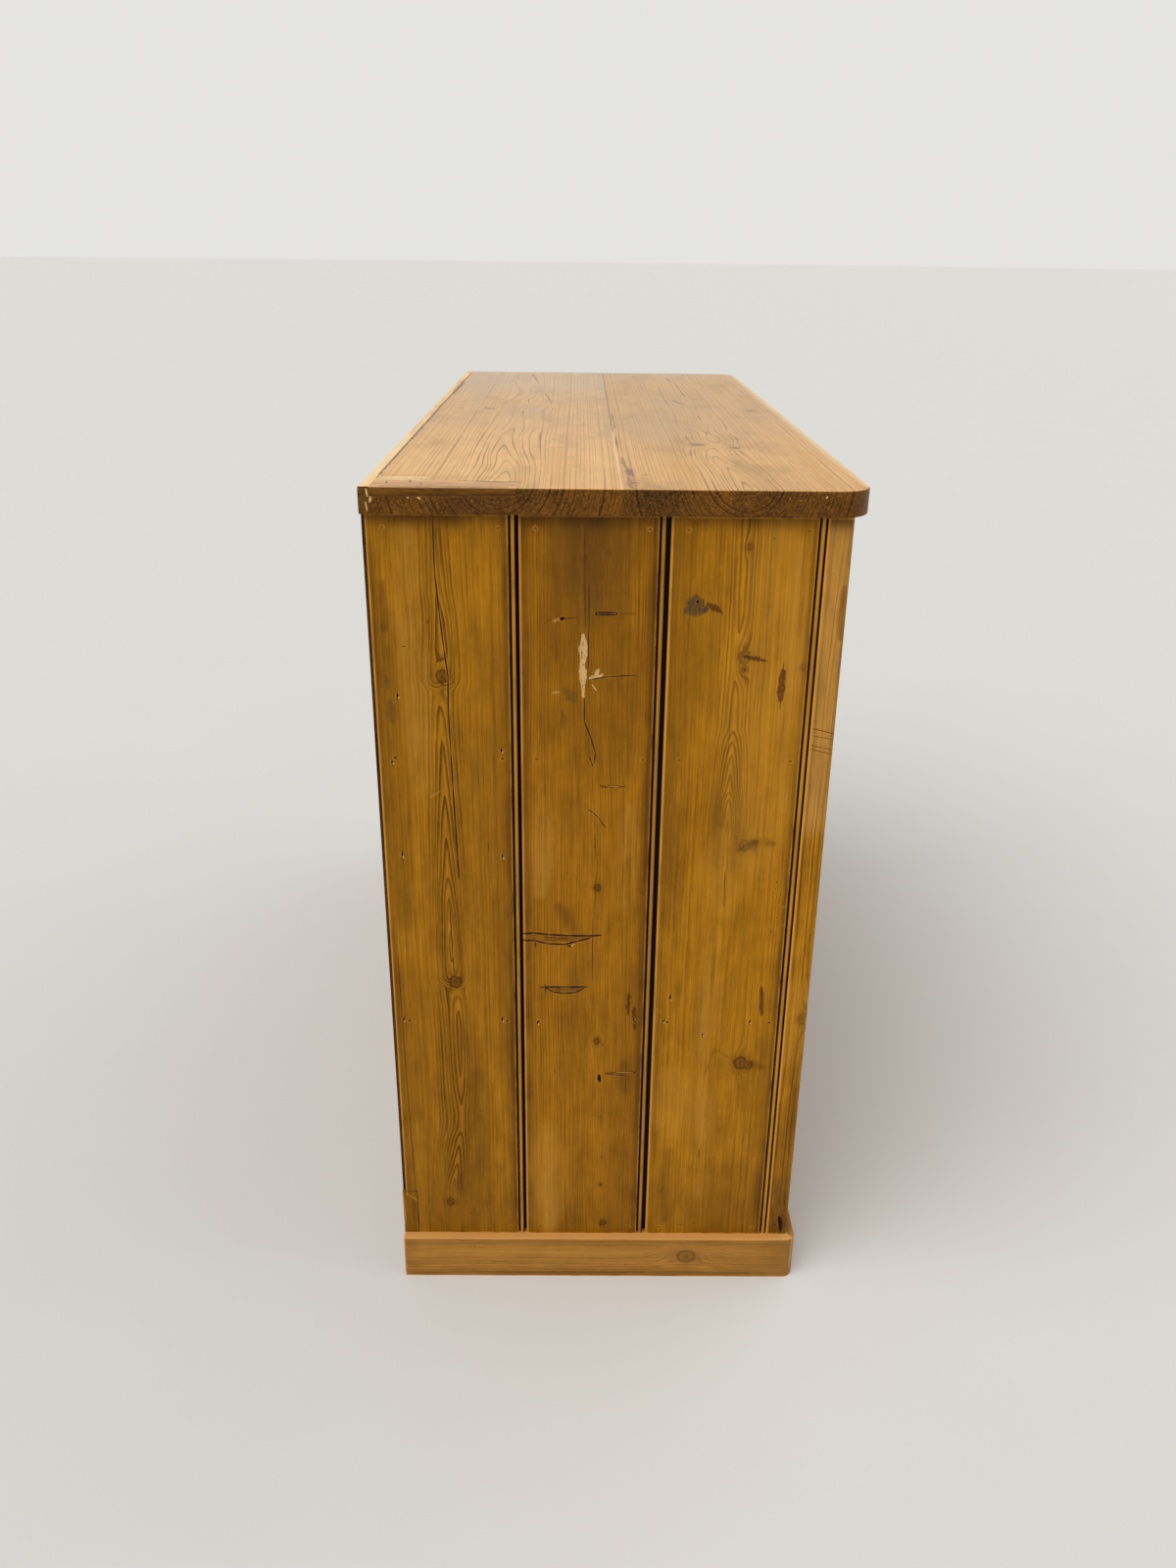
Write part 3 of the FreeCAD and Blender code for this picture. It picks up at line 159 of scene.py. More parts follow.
class StageSettings(PropertyGroup):
    """Floor and light."""

    floor: colour("Floor", "Pale studio floor", (0.62, 0.615, 0.60))
    surround: colour("Surround", "Light that comes from all round", (1.0, 0.985, 0.96))
    surround_strength: strength("Surround strength", "Level of the light from all round", 0.5)
    backdrop: colour("Backdrop", "What the camera sees behind the floor", (0.78, 0.775, 0.765))
    key_strength: strength("Key light", "Strength of the soft light over the left end", 2.1)
    key_spread: spread("Key spread", "How wide the soft light over the left end is", 55)
    fill_strength: strength("Fill light", "Strength of the soft light in front", 0.7)
    fill_spread: spread("Fill spread", "How wide the soft light in front is", 70)


# Writing node trees as arithmetic

def feed(tree, socket, value):
    """Links a wire to a socket, or sets the socket to a plain value."""
    if isinstance(value, Wire):
        tree.links.new(value.socket, socket)
    elif hasattr(value, "__len__") and len(socket.default_value) == 4:
        socket.default_value = (*value[:3], 1)
    else:
        socket.default_value = value


class Wire:
    """One output of a node, with arithmetic that adds further nodes to its tree."""

    def __init__(self, tree, socket):
        self.tree = tree
        self.socket = socket

    def step(self, operation, *others):
        """The result of one operation on this value and others."""
        node = self.tree.nodes.new("ShaderNodeMath")
        node.operation = operation
        for socket, value in zip(node.inputs, (self, *others)):
            feed(self.tree, socket, value)
        return Wire(self.tree, node.outputs[0])

    def __add__(self, other):
        return self.step("ADD", other)

    def __sub__(self, other):
        return self.step("SUBTRACT", other)

    def __mul__(self, other):
        return self.step("MULTIPLY", other)

    def __truediv__(self, other):
        return self.step("DIVIDE", other)

    def most(self, other):
        return self.step("MAXIMUM", other)

    def least(self, other):
        return self.step("MINIMUM", other)

    def squared(self):
        return self.step("MULTIPLY", self)

    def root(self):
        return self.step("SQRT")

    def size(self):
        return self.step("ABSOLUTE")

    def fraction(self):
        return self.step("FRACT")

    def falloff(self):
        """e to the power of minus this value."""
        return (self * -1).step("EXPONENT")

    def ease(self, low, high, start=0.0, end=1.0):
        """A smooth step from start at low to end at high."""
        node = self.tree.nodes.new("ShaderNodeMapRange")
        node.interpolation_type = "SMOOTHSTEP"
        for socket, value in zip(node.inputs, (self, low, high, start, end)):
            feed(self.tree, socket, value)
        return Wire(self.tree, node.outputs[0])


def vector_step(tree, operation, *values):
    """A vector operation; scale takes its number last."""
    node = tree.nodes.new("ShaderNodeVectorMath")
    node.operation = operation
    for place, value in enumerate(values):
        socket = node.inputs["Scale"] if operation == "SCALE" and place == 1 else node.inputs[place]
        feed(tree, socket, value)
    return Wire(tree, node.outputs["Value" if operation in ("DOT_PRODUCT", "LENGTH") else "Vector"])


def split(tree, value):
    """The three parts of a vector."""
    node = tree.nodes.new("ShaderNodeSeparateXYZ")
    feed(tree, node.inputs[0], value)
    return [Wire(tree, socket) for socket in node.outputs]


def join(tree, x, y, z):
    """A vector from its three parts."""
    node = tree.nodes.new("ShaderNodeCombineXYZ")
    for socket, value in zip(node.inputs, (x, y, z)):
        feed(tree, socket, value)
    return Wire(tree, node.outputs[0])


def noise(tree, point, across, along, detail=2.0, roughness=0.5):
    """Noise from 0 to 1, with so many lumps in a millimetre across and along; through is as across."""
    node = tree.nodes.new("ShaderNodeTexNoise")
    feed(tree, node.inputs["Vector"], vector_step(tree, "MULTIPLY", point, (across, along, across)))
    node.inputs["Scale"].default_value = 1
    node.inputs["Detail"].default_value = detail
    node.inputs["Roughness"].default_value = roughness
    return Wire(tree, node.outputs[0])


def blend(tree, factor, first, second):
    """A colour that goes from first to second."""
    node = tree.nodes.new("ShaderNodeMix")
    node.data_type = "RGBA"
    feed(tree, node.inputs[0], factor)
    feed(tree, node.inputs[6], first)
    feed(tree, node.inputs[7], second)
    return Wire(tree, node.outputs[2])


def hand_curve(tree, value, points):
    """A smooth curve through points of (value, result)."""
    first, last = points[0][0], points[-1][0]
    low = min(result for _, result in points)
    high = max(result for _, result in points)
    node = tree.nodes.new("ShaderNodeFloatCurve")
    curve = node.mapping.curves[0]
    for place, (at, result) in enumerate(points):
        spot = ((at - first) / (last - first), (result - low) / (high - low))
        if place < 2:
            curve.points[place].location = spot
        else:
            curve.points.new(*spot)
    node.mapping.update()
    feed(tree, node.inputs["Value"], (value - first) / (last - first))
    return Wire(tree, node.outputs[0]) * (high - low) + low


def make_group(name, inputs, outputs, write):
    """A node group that many materials use. Inputs and outputs are names, with vectors in capitals."""
    tree = bpy.data.node_groups.new(name, "ShaderNodeTree")
    for title in inputs:
        kind = "NodeSocketVector" if title.isupper() else "NodeSocketFloat"
        tree.interface.new_socket(title, in_out="INPUT", socket_type=kind)
    for title in outputs:
        tree.interface.new_socket(title, in_out="OUTPUT", socket_type="NodeSocketFloat")
    entry = tree.nodes.new("NodeGroupInput")
    leave = tree.nodes.new("NodeGroupOutput")
    results = write(tree, *[Wire(tree, entry.outputs[title]) for title in inputs])
    for title, result in zip(outputs, results):
        feed(tree, leave.inputs[title], result)
    return tree


def new_material(name):
    """An empty material, with its tree and its shader."""
    material = bpy.data.materials.new(name)
    material.use_nodes = True
    return material, material.node_tree, material.node_tree.nodes["Principled BSDF"]


def millimetres(tree):
    """Coordinates of the row frame in millimetres."""
    texture = tree.nodes.new("ShaderNodeTexCoord")
    return vector_step(tree, "SCALE", Wire(tree, texture.outputs["Object"]), 1 / MM)


def raise_surface(tree, shader, height, depth):
    """Fine relief of a surface, so many millimetres deep."""
    bump = tree.nodes.new("ShaderNodeBump")
    bump.inputs["Strength"].default_value = 1
    bump.inputs["Distance"].default_value = depth * MM
    feed(tree, bump.inputs["Height"], height)
    tree.links.new(bump.outputs["Normal"], shader.inputs["Normal"])


def use_group(tree, group, *values):
    """The outputs of a node group, fed with values in the order of its inputs."""
    node = tree.nodes.new("ShaderNodeGroup")
    node.node_tree = group
    for socket, value in zip(node.inputs, values):
        feed(tree, socket, value)
    return [Wire(tree, socket) for socket in node.outputs]


# Parts of the pine's figure

HEART_REACH = 32
ARCH_RATE = 0.14
RUBBED_REACH = 2.6
# Reach of the darkening of inner corners: dirt and painted shade
GRIME_AND_SHADE_REACH = 3.0
ARRIS_SAMPLES = 5


def write_growth_lines(tree, point, seat, shift, centre, depth, spacing, arches, reach, bulge, sway, rate,
                       wide):
    """Growth lines of a board: rings about a heart line, with arches where rings run out along it."""
    across, along, through = split(tree, point)
    drift = noise(tree, seat, 0.011, 0.0021, 1) - 0.5
    ripple = noise(tree, seat, 0.09, 0.011, 2) - 0.5
    off = across + shift - centre + (drift * 3.7 + ripple) * sway
    under = depth + through
    away = (off.squared() + under.squared()).root()
    uneven = noise(tree, join(tree, away, 0, 0), 0.06, 1, 2) - 0.5
    lost = (away / reach).squared().falloff()
    ring = away / spacing + uneven * 4 + arches * lost + bulge
    tooth = ring.fraction()
    lean = off / away / spacing - arches * lost * off * 2 / reach.squared()
    before = (tooth * -1 + 1) / (lean.squared() + rate.squared()).root()
    line = before.ease(wide, 0.5) * before.ease(0.0, 0.3)
    weight = noise(tree, join(tree, ring.step("FLOOR"), along * 0.004, 0), 0.77, 1, 1)
    return (line * weight.ease(0.3, 0.62, 0.45, 1.0),)


def write_knot(tree, point, place, size, stretch, rings, shift, bulge, near):
    """Bends the growth lines round a knot and keeps the distance to the nearest knot."""
    across, along, through = split(tree, vector_step(tree, "SUBTRACT", point, place))
    pull = ((across / size / 2.3).squared() + (along / size / 2.1 / stretch).squared()).falloff()
    own = ((across / size).squared() + (along / size / 1.2).squared() + (through / size / 3).squared()).root()
    return shift - across * pull * 0.62, bulge + pull * rings, near.least(own)


def write_stroke(tree, point, start, end, width, soft, mask):
    """Adds a stroke from start to end, thinner at its ends, to a mask."""
    run = vector_step(tree, "SUBTRACT", end, start)
    reach = vector_step(tree, "SUBTRACT", point, start)
    share_along = vector_step(tree, "DOT_PRODUCT", reach, run) / vector_step(tree, "DOT_PRODUCT", run, run)
    share_along = share_along.most(0).least(1)
    nearest = vector_step(tree, "SCALE", run, share_along)
    gap = vector_step(tree, "LENGTH", vector_step(tree, "SUBTRACT", reach, nearest))
    edge = (share_along * 2 - 1).squared() * -0.45 + 1
    outer = edge * width
    inner = outer - outer * soft
    return (mask.most(gap.ease(outer, inner)),)


def write_fibre(tree, seat):
    """Streaks and hairs along the board, slow clouds of tone, and flecks."""
    streak = noise(tree, seat, 0.18, 0.0036, 5, 0.70)
    hair = noise(tree, seat, 0.9, 0.02, 2, 0.6)
    cloud = noise(tree, seat, 0.021, 0.0085, 4, 0.62)
    fleck = noise(tree, seat, 0.42, 0.10, 3, 0.65)
    mottle = noise(tree, seat, 0.075, 0.030, 4, 0.68)
    return streak, hair, cloud, fleck, mottle


def write_arris(tree, seat):
    """Where the wood is rubbed on its outer edges, and where its inner corners are darkened: dirt and painted
    shade on the wood, tarnish on the metal.
    """
    rubbed = tree.nodes.new("ShaderNodeAmbientOcclusion")
    rubbed.inside = True
    kept = tree.nodes.new("ShaderNodeAmbientOcclusion")
    for node, reach in ((rubbed, RUBBED_REACH), (kept, GRIME_AND_SHADE_REACH)):
        node.only_local = True
        node.samples = ARRIS_SAMPLES
        node.inputs["Distance"].default_value = reach * MM
    patchy = noise(tree, seat, 0.09, 0.025, 3, 0.6)
    edge = Wire(tree, rubbed.outputs["AO"])
    corner = Wire(tree, kept.outputs["AO"])
    return edge.ease(0.93, 0.62) * patchy.ease(0.28, 0.58), corner.ease(0.88, 0.35)


GROWTH_LINES = make_group(
    "growth_lines",
    ("POINT", "SEAT", "shift", "centre", "depth", "spacing", "arches", "reach", "bulge", "sway", "rate",
     "wide"), ("line",), write_growth_lines)
KNOT = make_group("knot", ("POINT", "PLACE", "size", "stretch", "rings", "shift", "bulge", "near"),
                  ("shift", "bulge", "near"), write_knot)
STROKE = make_group("stroke", ("POINT", "START", "END", "width", "soft", "mask"), ("mask",), write_stroke)
FIBRE = make_group("fibre", ("SEAT",), ("streak", "hair", "cloud", "fleck", "mottle"), write_fibre)
ARRIS = make_group("arris", ("SEAT",), ("rubbed", "grime"), write_arris)


# What a board is: how it was sawn and what its face carries, in millimetres of the row frame

@dataclass
class Board:
    """One board. Points on its face are (across, along)."""

    # Where it lies: its axes across, along and through, its show face and the way in from it
    axes: str
    face: float
    inward: float
    thickness: float
    face_across: tuple
    face_along: tuple
    # Growth lines: the heart they stand about, how deep it lies and how they arch along it
    centre: float
    spacing: float = 3.4
    wide: float = 1.9
    depth: float = 12.0
    taper: float = 0.0
    start: float = 0.0
    heart: tuple = ()
    arches: tuple = ()
    reach: float = 20.0
    contrast: float = 0.5
    bold: tuple = ()
    ripple: float = 2.4
    # What the face carries
    knots: tuple = ()
    marks: tuple = ()
    end_marks: tuple = ()
    chips: tuple = ()
    # Edges: the darkening along the face's sides and ends, dirt and painted shade in its joints and corners,
    # the bead, and the painted highlights and painted shade on its edges
    soil: float = 0.5
    rub: float = 0.62
    joints: tuple = ()
    bead: float = None
    lit_edge: float = None
    lit_width: float = 2.4
    crown_highlight: float = 0.0
    eave: float = 0.0
    edge_tint: float = 1.0
    flush: bool = False
    arris: float = None
    # Tone of the whole board
    fibre: float = 1.0
    blotch: float = 0.9
    tint: tuple = (1.0, 1.0, 1.0)
    seed: float = 0.0


def board(node, show, **changes):
    """A board as its node's box has it, with its show face towards show, such as -x."""
    low, high = (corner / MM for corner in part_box(node))
    deep = "xyz".index(show[1])
    sides = [axis for axis in range(3) if axis != deep]
    across, along = sorted(sides, key=lambda axis: high[axis] - low[axis])
    outer = show[0] == "+"
    made = Board(axes="".join("xyz"[axis] for axis in (across, along, deep)),
                 face=high[deep] if outer else low[deep], inward=-1.0 if outer else 1.0,
                 thickness=high[deep] - low[deep], centre=(low[across] + high[across]) / 2, start=low[along],
                 face_across=(low[across], high[across]), face_along=(low[along], high[along]))
    for name, value in changes.items():
        setattr(made, name, value)
    return made


# A plain board has one more mark of a kind for each of these lengths
SMUDGE_EVERY = 260
DENT_EVERY = 300
KNOT_EVERY = 420

# Limits of a plain board's figure and marks
WIDEST_SMUDGE = 150
HEART_STEPS = 4
MARK_RIM = 8
SIDE_MARGIN = 0.06
KNOT_RIM = 20


def use_marks(draw, low, high, left, right, smudge):
    """Marks of long use on a plain board: smudges, dents, scratches and pin holes, drawn from its seed."""
    length, width = high - low, right - left
    marks = []

    def spot():
        across = draw.uniform(left + SIDE_MARGIN * width, right - SIDE_MARGIN * width)
        return across, draw.uniform(low + MARK_RIM, high - MARK_RIM)

    for _ in range(1 + int(length / SMUDGE_EVERY)):
        across, along = spot()
        run = draw.uniform(0.04, 0.14) * length
        marks.append((draw.choice(smudge), draw.uniform(0.08, 0.24) * min(width, WIDEST_SMUDGE) + 3, 1.0,
                      (across, along - run), (across + draw.uniform(-4, 4), along + run)))
    for _ in range(draw.randint(1, 2 + int(length / DENT_EVERY))):
        across, along = spot()
        run = draw.uniform(2, 9)
        marks.append((draw.choice(("resin", "stain", "rub")), draw.uniform(0.7, 1.6), 0.6, (across, along),
                      (across + draw.uniform(-3, 3), along + run)))
    for _ in range(draw.randint(0, 2)):
        across, along = spot()
        marks.append(("rub", 0.8, 0.7, (across, along),
                      (across + draw.uniform(-0.2, 0.2) * width, along + draw.uniform(-14, 14))))
    for _ in range(draw.randint(1, 3)):
        across, along = spot()
        marks.append(("seam", draw.uniform(0.6, 1.0), 0.4, (across, along), (across, along + 0.8)))
    return tuple(marks)


def plain_board(node, show, seed, smudge=("haze", "haze", "glow"), **changes):
    """A board with no figure of its own: its heart, knots, marks and tone are drawn from its seed."""
    draw = random.Random(seed)
    made = board(node, show, seed=seed)
    (left, right), (low, high) = made.face_across, made.face_along
    width, length = right - left, high - low
    middle = made.centre + draw.uniform(-0.3, 0.3) * width
    made.heart = tuple((low + length * step / HEART_STEPS, middle + draw.uniform(-0.06, 0.06) * width)
                       for step in range(HEART_STEPS + 1))
    made.spacing = draw.uniform(3.2, 4.8)
    made.depth = draw.uniform(5, 14)
    made.taper = draw.choice((-1, 1)) * draw.uniform(0.010, 0.026)
    if made.taper < 0:
        made.depth -= made.taper * length
    made.wide = 2.5
    made.contrast = 0.6
    made.bold = (("bold", 0.22 * width, 0.9, (middle, low), (middle, high)),)
    made.knots = tuple(
        ((draw.uniform(left + MARK_RIM, right - MARK_RIM), draw.uniform(low + KNOT_RIM, high - KNOT_RIM)),
         draw.uniform(2.2, 0.012 * width + 3.6), draw.uniform(2.0, 3.0), draw.uniform(1.0, 2.2))
        for _ in range(draw.randint(0, 1 + int(length / KNOT_EVERY))))
    made.marks = use_marks(draw, low, high, left, right, smudge)
    glow = draw.uniform(0.92, 1.06)
    made.tint = (glow, glow * draw.uniform(0.96, 1.02), glow * draw.uniform(0.92, 1.04))
    for name, value in changes.items():
        setattr(made, name, value)
    return made


# Marks on a face and their tones

@dataclass
class Tone:
    """A mark's colour, how much of it shows, how far it is cut in, how it breaks up, and if it comes last."""

    colour: tuple
    shown: float
    cut: float = 0.0
    breaks: str = "nowhere"
    late: bool = False


MARK_TONES = {
    "dim": Tone((0.10, 0.035, 0.001), 0.26),
    "warm": Tone((0.64, 0.30, 0.035), 0.26),
    "fair": Tone((0.66, 0.37, 0.12), 0.30),
    "haze": Tone((0.12, 0.042, 0.002), 0.55, breaks="clouds"),
    "glow": Tone((0.50, 0.245, 0.035), 0.45, breaks="clouds"),
    "veil": Tone((0.40, 0.27, 0.185), 0.50, breaks="clouds"),
    # Painted shade and a painted grey sheen of reflected light, for the far part of the top
    "shade": Tone((0.34, 0.25, 0.165), 0.31),
    "sheen": Tone((0.42, 0.42, 0.395), 0.24),
    "pale": Tone((0.50, 0.29, 0.10), 0.60, breaks="clouds"),
    "stain": Tone((0.115, 0.048, 0.007), 0.60, breaks="flecks"),
    "smoke": Tone((0.098, 0.056, 0.011), 0.66, breaks="flecks"),
    "rose": Tone((0.40, 0.20, 0.105), 0.80, breaks="flecks"),
    "soot": Tone((0.075, 0.043, 0.022), 0.82, breaks="flecks"),
    "umber": Tone((0.15, 0.075, 0.036), 0.75, breaks="flecks"),
    "cream": Tone((0.80, 0.60, 0.33), 0.72, breaks="flecks"),
    "stop": Tone((0.105, 0.038, 0.003), 0.80, late=True),
    "plug": Tone((0.20, 0.082, 0.003), 0.80, late=True),
    "seam": Tone((0.028, 0.014, 0.006), 0.85, late=True),
    "resin": Tone((0.085, 0.026, 0.003), 0.84),
    "rub": Tone((0.52, 0.275, 0.06), 0.62),
    "bare": Tone((0.66, 0.43, 0.17), 0.94, cut=0.35, breaks="flakes"),
    "crack": Tone((0.026, 0.011, 0.009), 0.92, cut=1.3, late=True),
    "hole": Tone((0.010, 0.005, 0.003), 0.97, cut=2.6, late=True),
}
FINE_MARK = 1.3
CRACK_SHOW = 1.6
# Near-black of dirt and painted shade deep in gaps, also used for pits in old finish
GAP_DIRT_AND_SHADE = (0.010, 0.005, 0.002)

# Heights of the rows of nails in an end
PLUGGED_ROWS = (68, 902.5)
LOWER_SHELF_ROW = 360
UPPER_SHELF_ROW = 672


def strokes_of(marks):
    """Each mark's strokes: (tone, start, end, half width, softness)."""
    for tone, width, soft, *points in marks:
        for start, end in zip(points, points[1:]):
            yield tone, start, end, width, soft


def nail(across, along, height=3.0):
    """A punched nail: a dark hole at the top of a small bruised slot."""
    return (("resin", 2.0, 0.6, (across, along - height), (across, along + height)),
            ("bare", 0.9, 0.4, (across - 0.6, along - height * 0.7), (across - 0.6, along)),
            ("hole", 1.1, 0.4, (across + 0.6, along - 0.5), (across + 0.4, along + height * 0.6)))


def stopped_nails(upper_tone, *places):
    """The stopping over a board's nails, at each place across it and in every row."""
    tones = {row: "plug" for row in PLUGGED_ROWS}
    tones.update({LOWER_SHELF_ROW: "stop", UPPER_SHELF_ROW: upper_tone})
    return tuple((tone, 2.5, 0.6, (across, row - 0.6), (across, row + 0.6)) for across in places
                 for row, tone in tones.items())


def specks(tone, width, *places):
    """Small round marks."""
    return tuple((tone, width, 0.4, place, (place[0], place[1] + width * 0.6)) for place in places)


# Wood materials

SEED_MOVE = (37.0, 91.0, 53.0)
RELIEF = 0.10
FACE_DEPTH = (6, 4)

# A beaded edge, from the outside of its bead: the crest with its painted highlight, the quirk behind it and
# how far painted shade reaches
BEAD_CREST = 2.9
BEAD_QUIRK = 6.0
BEAD_SHADE = 15

# Reach of the dirt and painted shade deep in a joint, and of the darkening at the sides and foot of a face
# and the dirt and painted shade at its head
JOINT_DIRT_AND_SHADE = (11, 8)
JOINT_DEPTH = (0.8, 2.6)
SIDE_DARKENING = 15
FOOT_DARKENING = 120
HEAD_DIRT_AND_SHADE = 26

# Shade on a board below the overhang of the top: a dark line and a slow fall
EAVE_LINE = (-16, -2)
EAVE_FALL = 70


def scaled(shade, factor, lift=0.0):
    """A colour made darker or lighter."""
    return [min(1.0, part * factor + lift) for part in shade]


class PineWriter:
    """Writes the material of one board into a node tree."""

    def __init__(self, name, made, pale, line, roughness):
        self.made = made
        self.material, self.tree, self.shader = new_material(name)
        self.pale = [part * tint for part, tint in zip(pale, made.tint)]
        self.line = [part * tint for part, tint in zip(line, made.tint)]
        self.deep = scaled(self.line, 0.62)
        self.roughness = roughness

    def place(self):
        """Coordinates in millimetres: across, along and through the board, and the same moved by the seed."""
        tree, made = self.tree, self.made
        parts = split(tree, millimetres(tree))
        normals = split(tree, Wire(tree, tree.nodes.new("ShaderNodeTexCoord").outputs["Normal"]))
        across, along, deep = ("xyz".index(axis) for axis in made.axes)
        self.across, self.along = parts[across], parts[along]
        self.through = (parts[deep] - made.face) * made.inward
        self.crown_face = normals[across].ease(0.5, 0.9)
        self.end_face = normals[along].size().ease(0.55, 0.85)
        self.show_face = (normals[deep] * -made.inward).ease(0.45, 0.9)
        self.hidden_face = (normals[deep] * made.inward).ease(0.85, 0.98)
        self.point = join(tree, self.across, self.along, self.through)
        self.flat = join(tree, self.across, self.along, 0.0)
        self.end_point = join(tree, self.across, self.through, 0.0)
        self.seat = vector_step(tree, "ADD", self.point, tuple(made.seed * move for move in SEED_MOVE))

    def wobble(self):
        """The face's points, moved a little so that marks have uneven edges."""
        tree = self.tree
        sway = noise(tree, self.seat, 0.16, 0.09, 3, 0.65) - 0.5
        jag = noise(tree, self.seat, 0.6, 0.3, 2, 0.65) - 0.5
        return vector_step(tree, "ADD", self.flat, join(tree, sway * 5 + jag * 2.4, jag * 5 - sway * 4, 0.0))

    def figure(self):
        """Growth lines with the knots that bend them."""
        tree, made = self.tree, self.made
        self.uneven = self.wobble()
        shift, bulge, near = 0.0, 0.0, None
        inner = vector_step(tree, "ADD", self.uneven, join(tree, 0.0, 0.0, self.through))
        for (across, along), size, stretch, rings in made.knots:
            held = 9.0 if near is None else near
            shift, bulge, near = use_group(tree, KNOT, inner, (across, along, 0), size, stretch, rings,
                                           shift, bulge, held)
        centre, rate = made.centre, abs(made.taper) / made.spacing * 3
        if made.heart:
            base = sum(place for _, place in made.heart) / len(made.heart)
            nearby = ((self.across - base) / HEART_REACH).squared().falloff()
            centre = (hand_curve(tree, self.along, made.heart) - base) * nearby + base
        if made.arches:
            rate = ARCH_RATE
        arches = hand_curve(tree, self.along, made.arches) if made.arches else 0.0
        depth = (self.along - made.start) * made.taper + made.depth
        self.lines, = use_group(tree, GROWTH_LINES, self.point, self.seat, shift, centre, depth,
                                made.spacing, arches, made.reach, bulge, made.ripple, rate, made.wide)
        self.near = near

    def mask_of(self, strokes, fine, broad):
        """One mask of many strokes: fine strokes keep their line, and broad ones have uneven edges."""
        mask = 0.0
        for tone, start, end, width, soft in strokes:
            point = fine if width < FINE_MARK else broad
            seen = width * CRACK_SHOW if tone == "crack" else width
            mask, = use_group(self.tree, STROKE, point, (*start, 0), (*end, 0), seen, soft, mask)
        return mask

    def broken(self, mask, breaks):
        """A mask broken up in clouds, flecks or flakes, as old finish is."""
        if breaks == "clouds":
            return mask * (self.cloud + self.streak).ease(0.82, 1.16)
        if breaks == "flecks":
            return mask * self.fleck.ease(0.3, 0.62, 0.45, 1.0)
        if breaks == "flakes":
            return mask * self.flake
        return mask

    def paint(self, body, marks, fine, broad, face, late):
        """Lays marks on the body's colour, tone by tone; late ones go over the rubbed edges."""
        for name, tone in MARK_TONES.items():
            strokes = [stroke for stroke in strokes_of(marks) if stroke[0] == name]
            if strokes and tone.late == late:
                mask = self.mask_of(strokes, fine, broad) * face * tone.shown
                body = blend(self.tree, self.broken(mask, tone.breaks), body, tone.colour)
        return body

    def paint_marks(self, body, face, late=False):
        """Lays the marks of the show face and of the ends."""
        body = self.paint(body, self.made.marks, self.flat, self.uneven, face, late)
        return self.paint(body, self.made.end_marks, self.end_point, self.end_point, self.end_face, late)

    def edge_darkening(self):
        """How much the face darkens along its sides and ends; at its head this is dirt and painted shade
        below the top.
        """
        (left, right), (low, high) = self.made.face_across, self.made.face_along
        side = (self.across - left).least((self.across - right) * -1).ease(SIDE_DARKENING, 0)
        end = (self.along - low).ease(FOOT_DARKENING, 0) * 0.7 + (self.along - high).ease(-HEAD_DIRT_AND_SHADE, 0) * 1.1
        return (side + end).least(1.0) * self.cloud.ease(0.33, 0.62, 0.35, 1.0)

    def moulding(self, body):
        """Paints a highlight on the crest of a board's bead and on its far edge, painted shade in the hollows
        beside the bead and below the top's overhang, and a painted highlight on the upward face.
        """
        tree, made = self.tree, self.made
        # Colours of the painted highlights and of the painted shade
        lit = scaled(self.pale, 1.32, 0.03)
        dark = scaled(self.line, 0.2)
        broken = noise(tree, self.seat, 0.02, 0.012, 4, 0.65).ease(0.36, 0.56, 0.55, 1.0)
        if made.bead is not None:
            off = self.across - made.bead
            # Painted shade beside the bead, beyond its quirk
            body = blend(tree, off.ease(BEAD_SHADE, BEAD_QUIRK) * 0.38, body, dark)
            # Painted highlight on the bead's crest
            body = blend(tree, (off - BEAD_CREST).size().ease(2.0, 0.8) * broken * 0.75, body, lit)
            # Painted shade in the quirk
            body = blend(tree, (off - BEAD_QUIRK).size().ease(1.3, 0.6) * 0.8, body, dark)
        if made.lit_edge is not None:
            # Painted highlight on the far edge
            edge = (self.across - made.lit_edge).size().ease(made.lit_width, made.lit_width * 0.5)
            body = blend(tree, edge * broken, body, lit)
        if made.eave:
            # Painted shade below the top's overhang
            drop = self.along - made.face_along[1]
            under = drop.ease(*EAVE_LINE) + drop.ease(-EAVE_FALL, 0) * 0.3
            body = blend(tree, under * self.cloud.ease(0.3, 0.6, 0.6, 1.0) * made.eave, body, dark)
        if made.crown_highlight:
            # Painted highlight on the upward face, where the light falls
            body = blend(tree, self.crown_face * made.crown_highlight, body, scaled(self.pale, 1.6, 0.05))
        return body

    def gaps(self, body):
        """Painted shadow on the bead's side towards the gap, and dirt with painted shade deep in the gaps
        between boards.
        """
        tree, made = self.tree, self.made
        inside = self.hidden_face * -1 + 1
        if made.bead is not None:
            # Painted shadow on the bead's side towards the gap
            body = blend(tree, (self.across - made.bead).ease(1.3, 0.5) * 0.97, body, GAP_DIRT_AND_SHADE)
        for joint in made.joints:
            # Dirt and painted shade deep in the gap
            gap_shade_and_dirt = (self.across - joint).size().ease(*JOINT_DIRT_AND_SHADE) * self.through.ease(*JOINT_DEPTH) * inside
            body = blend(tree, gap_shade_and_dirt, body, GAP_DIRT_AND_SHADE)
        return body

    def fibres(self):
        """Streaks, clouds and flecks of the wood, flakes of its finish, and where it is rubbed or grimy."""
        self.streak, self.hair, self.cloud, self.fleck, self.mottle = use_group(self.tree, FIBRE, self.seat)
        self.flake = noise(self.tree, self.seat, 0.75, 0.16, 3, 0.7).ease(0.36, 0.46)
        self.rubbed, self.grime = use_group(self.tree, ARRIS, self.seat)

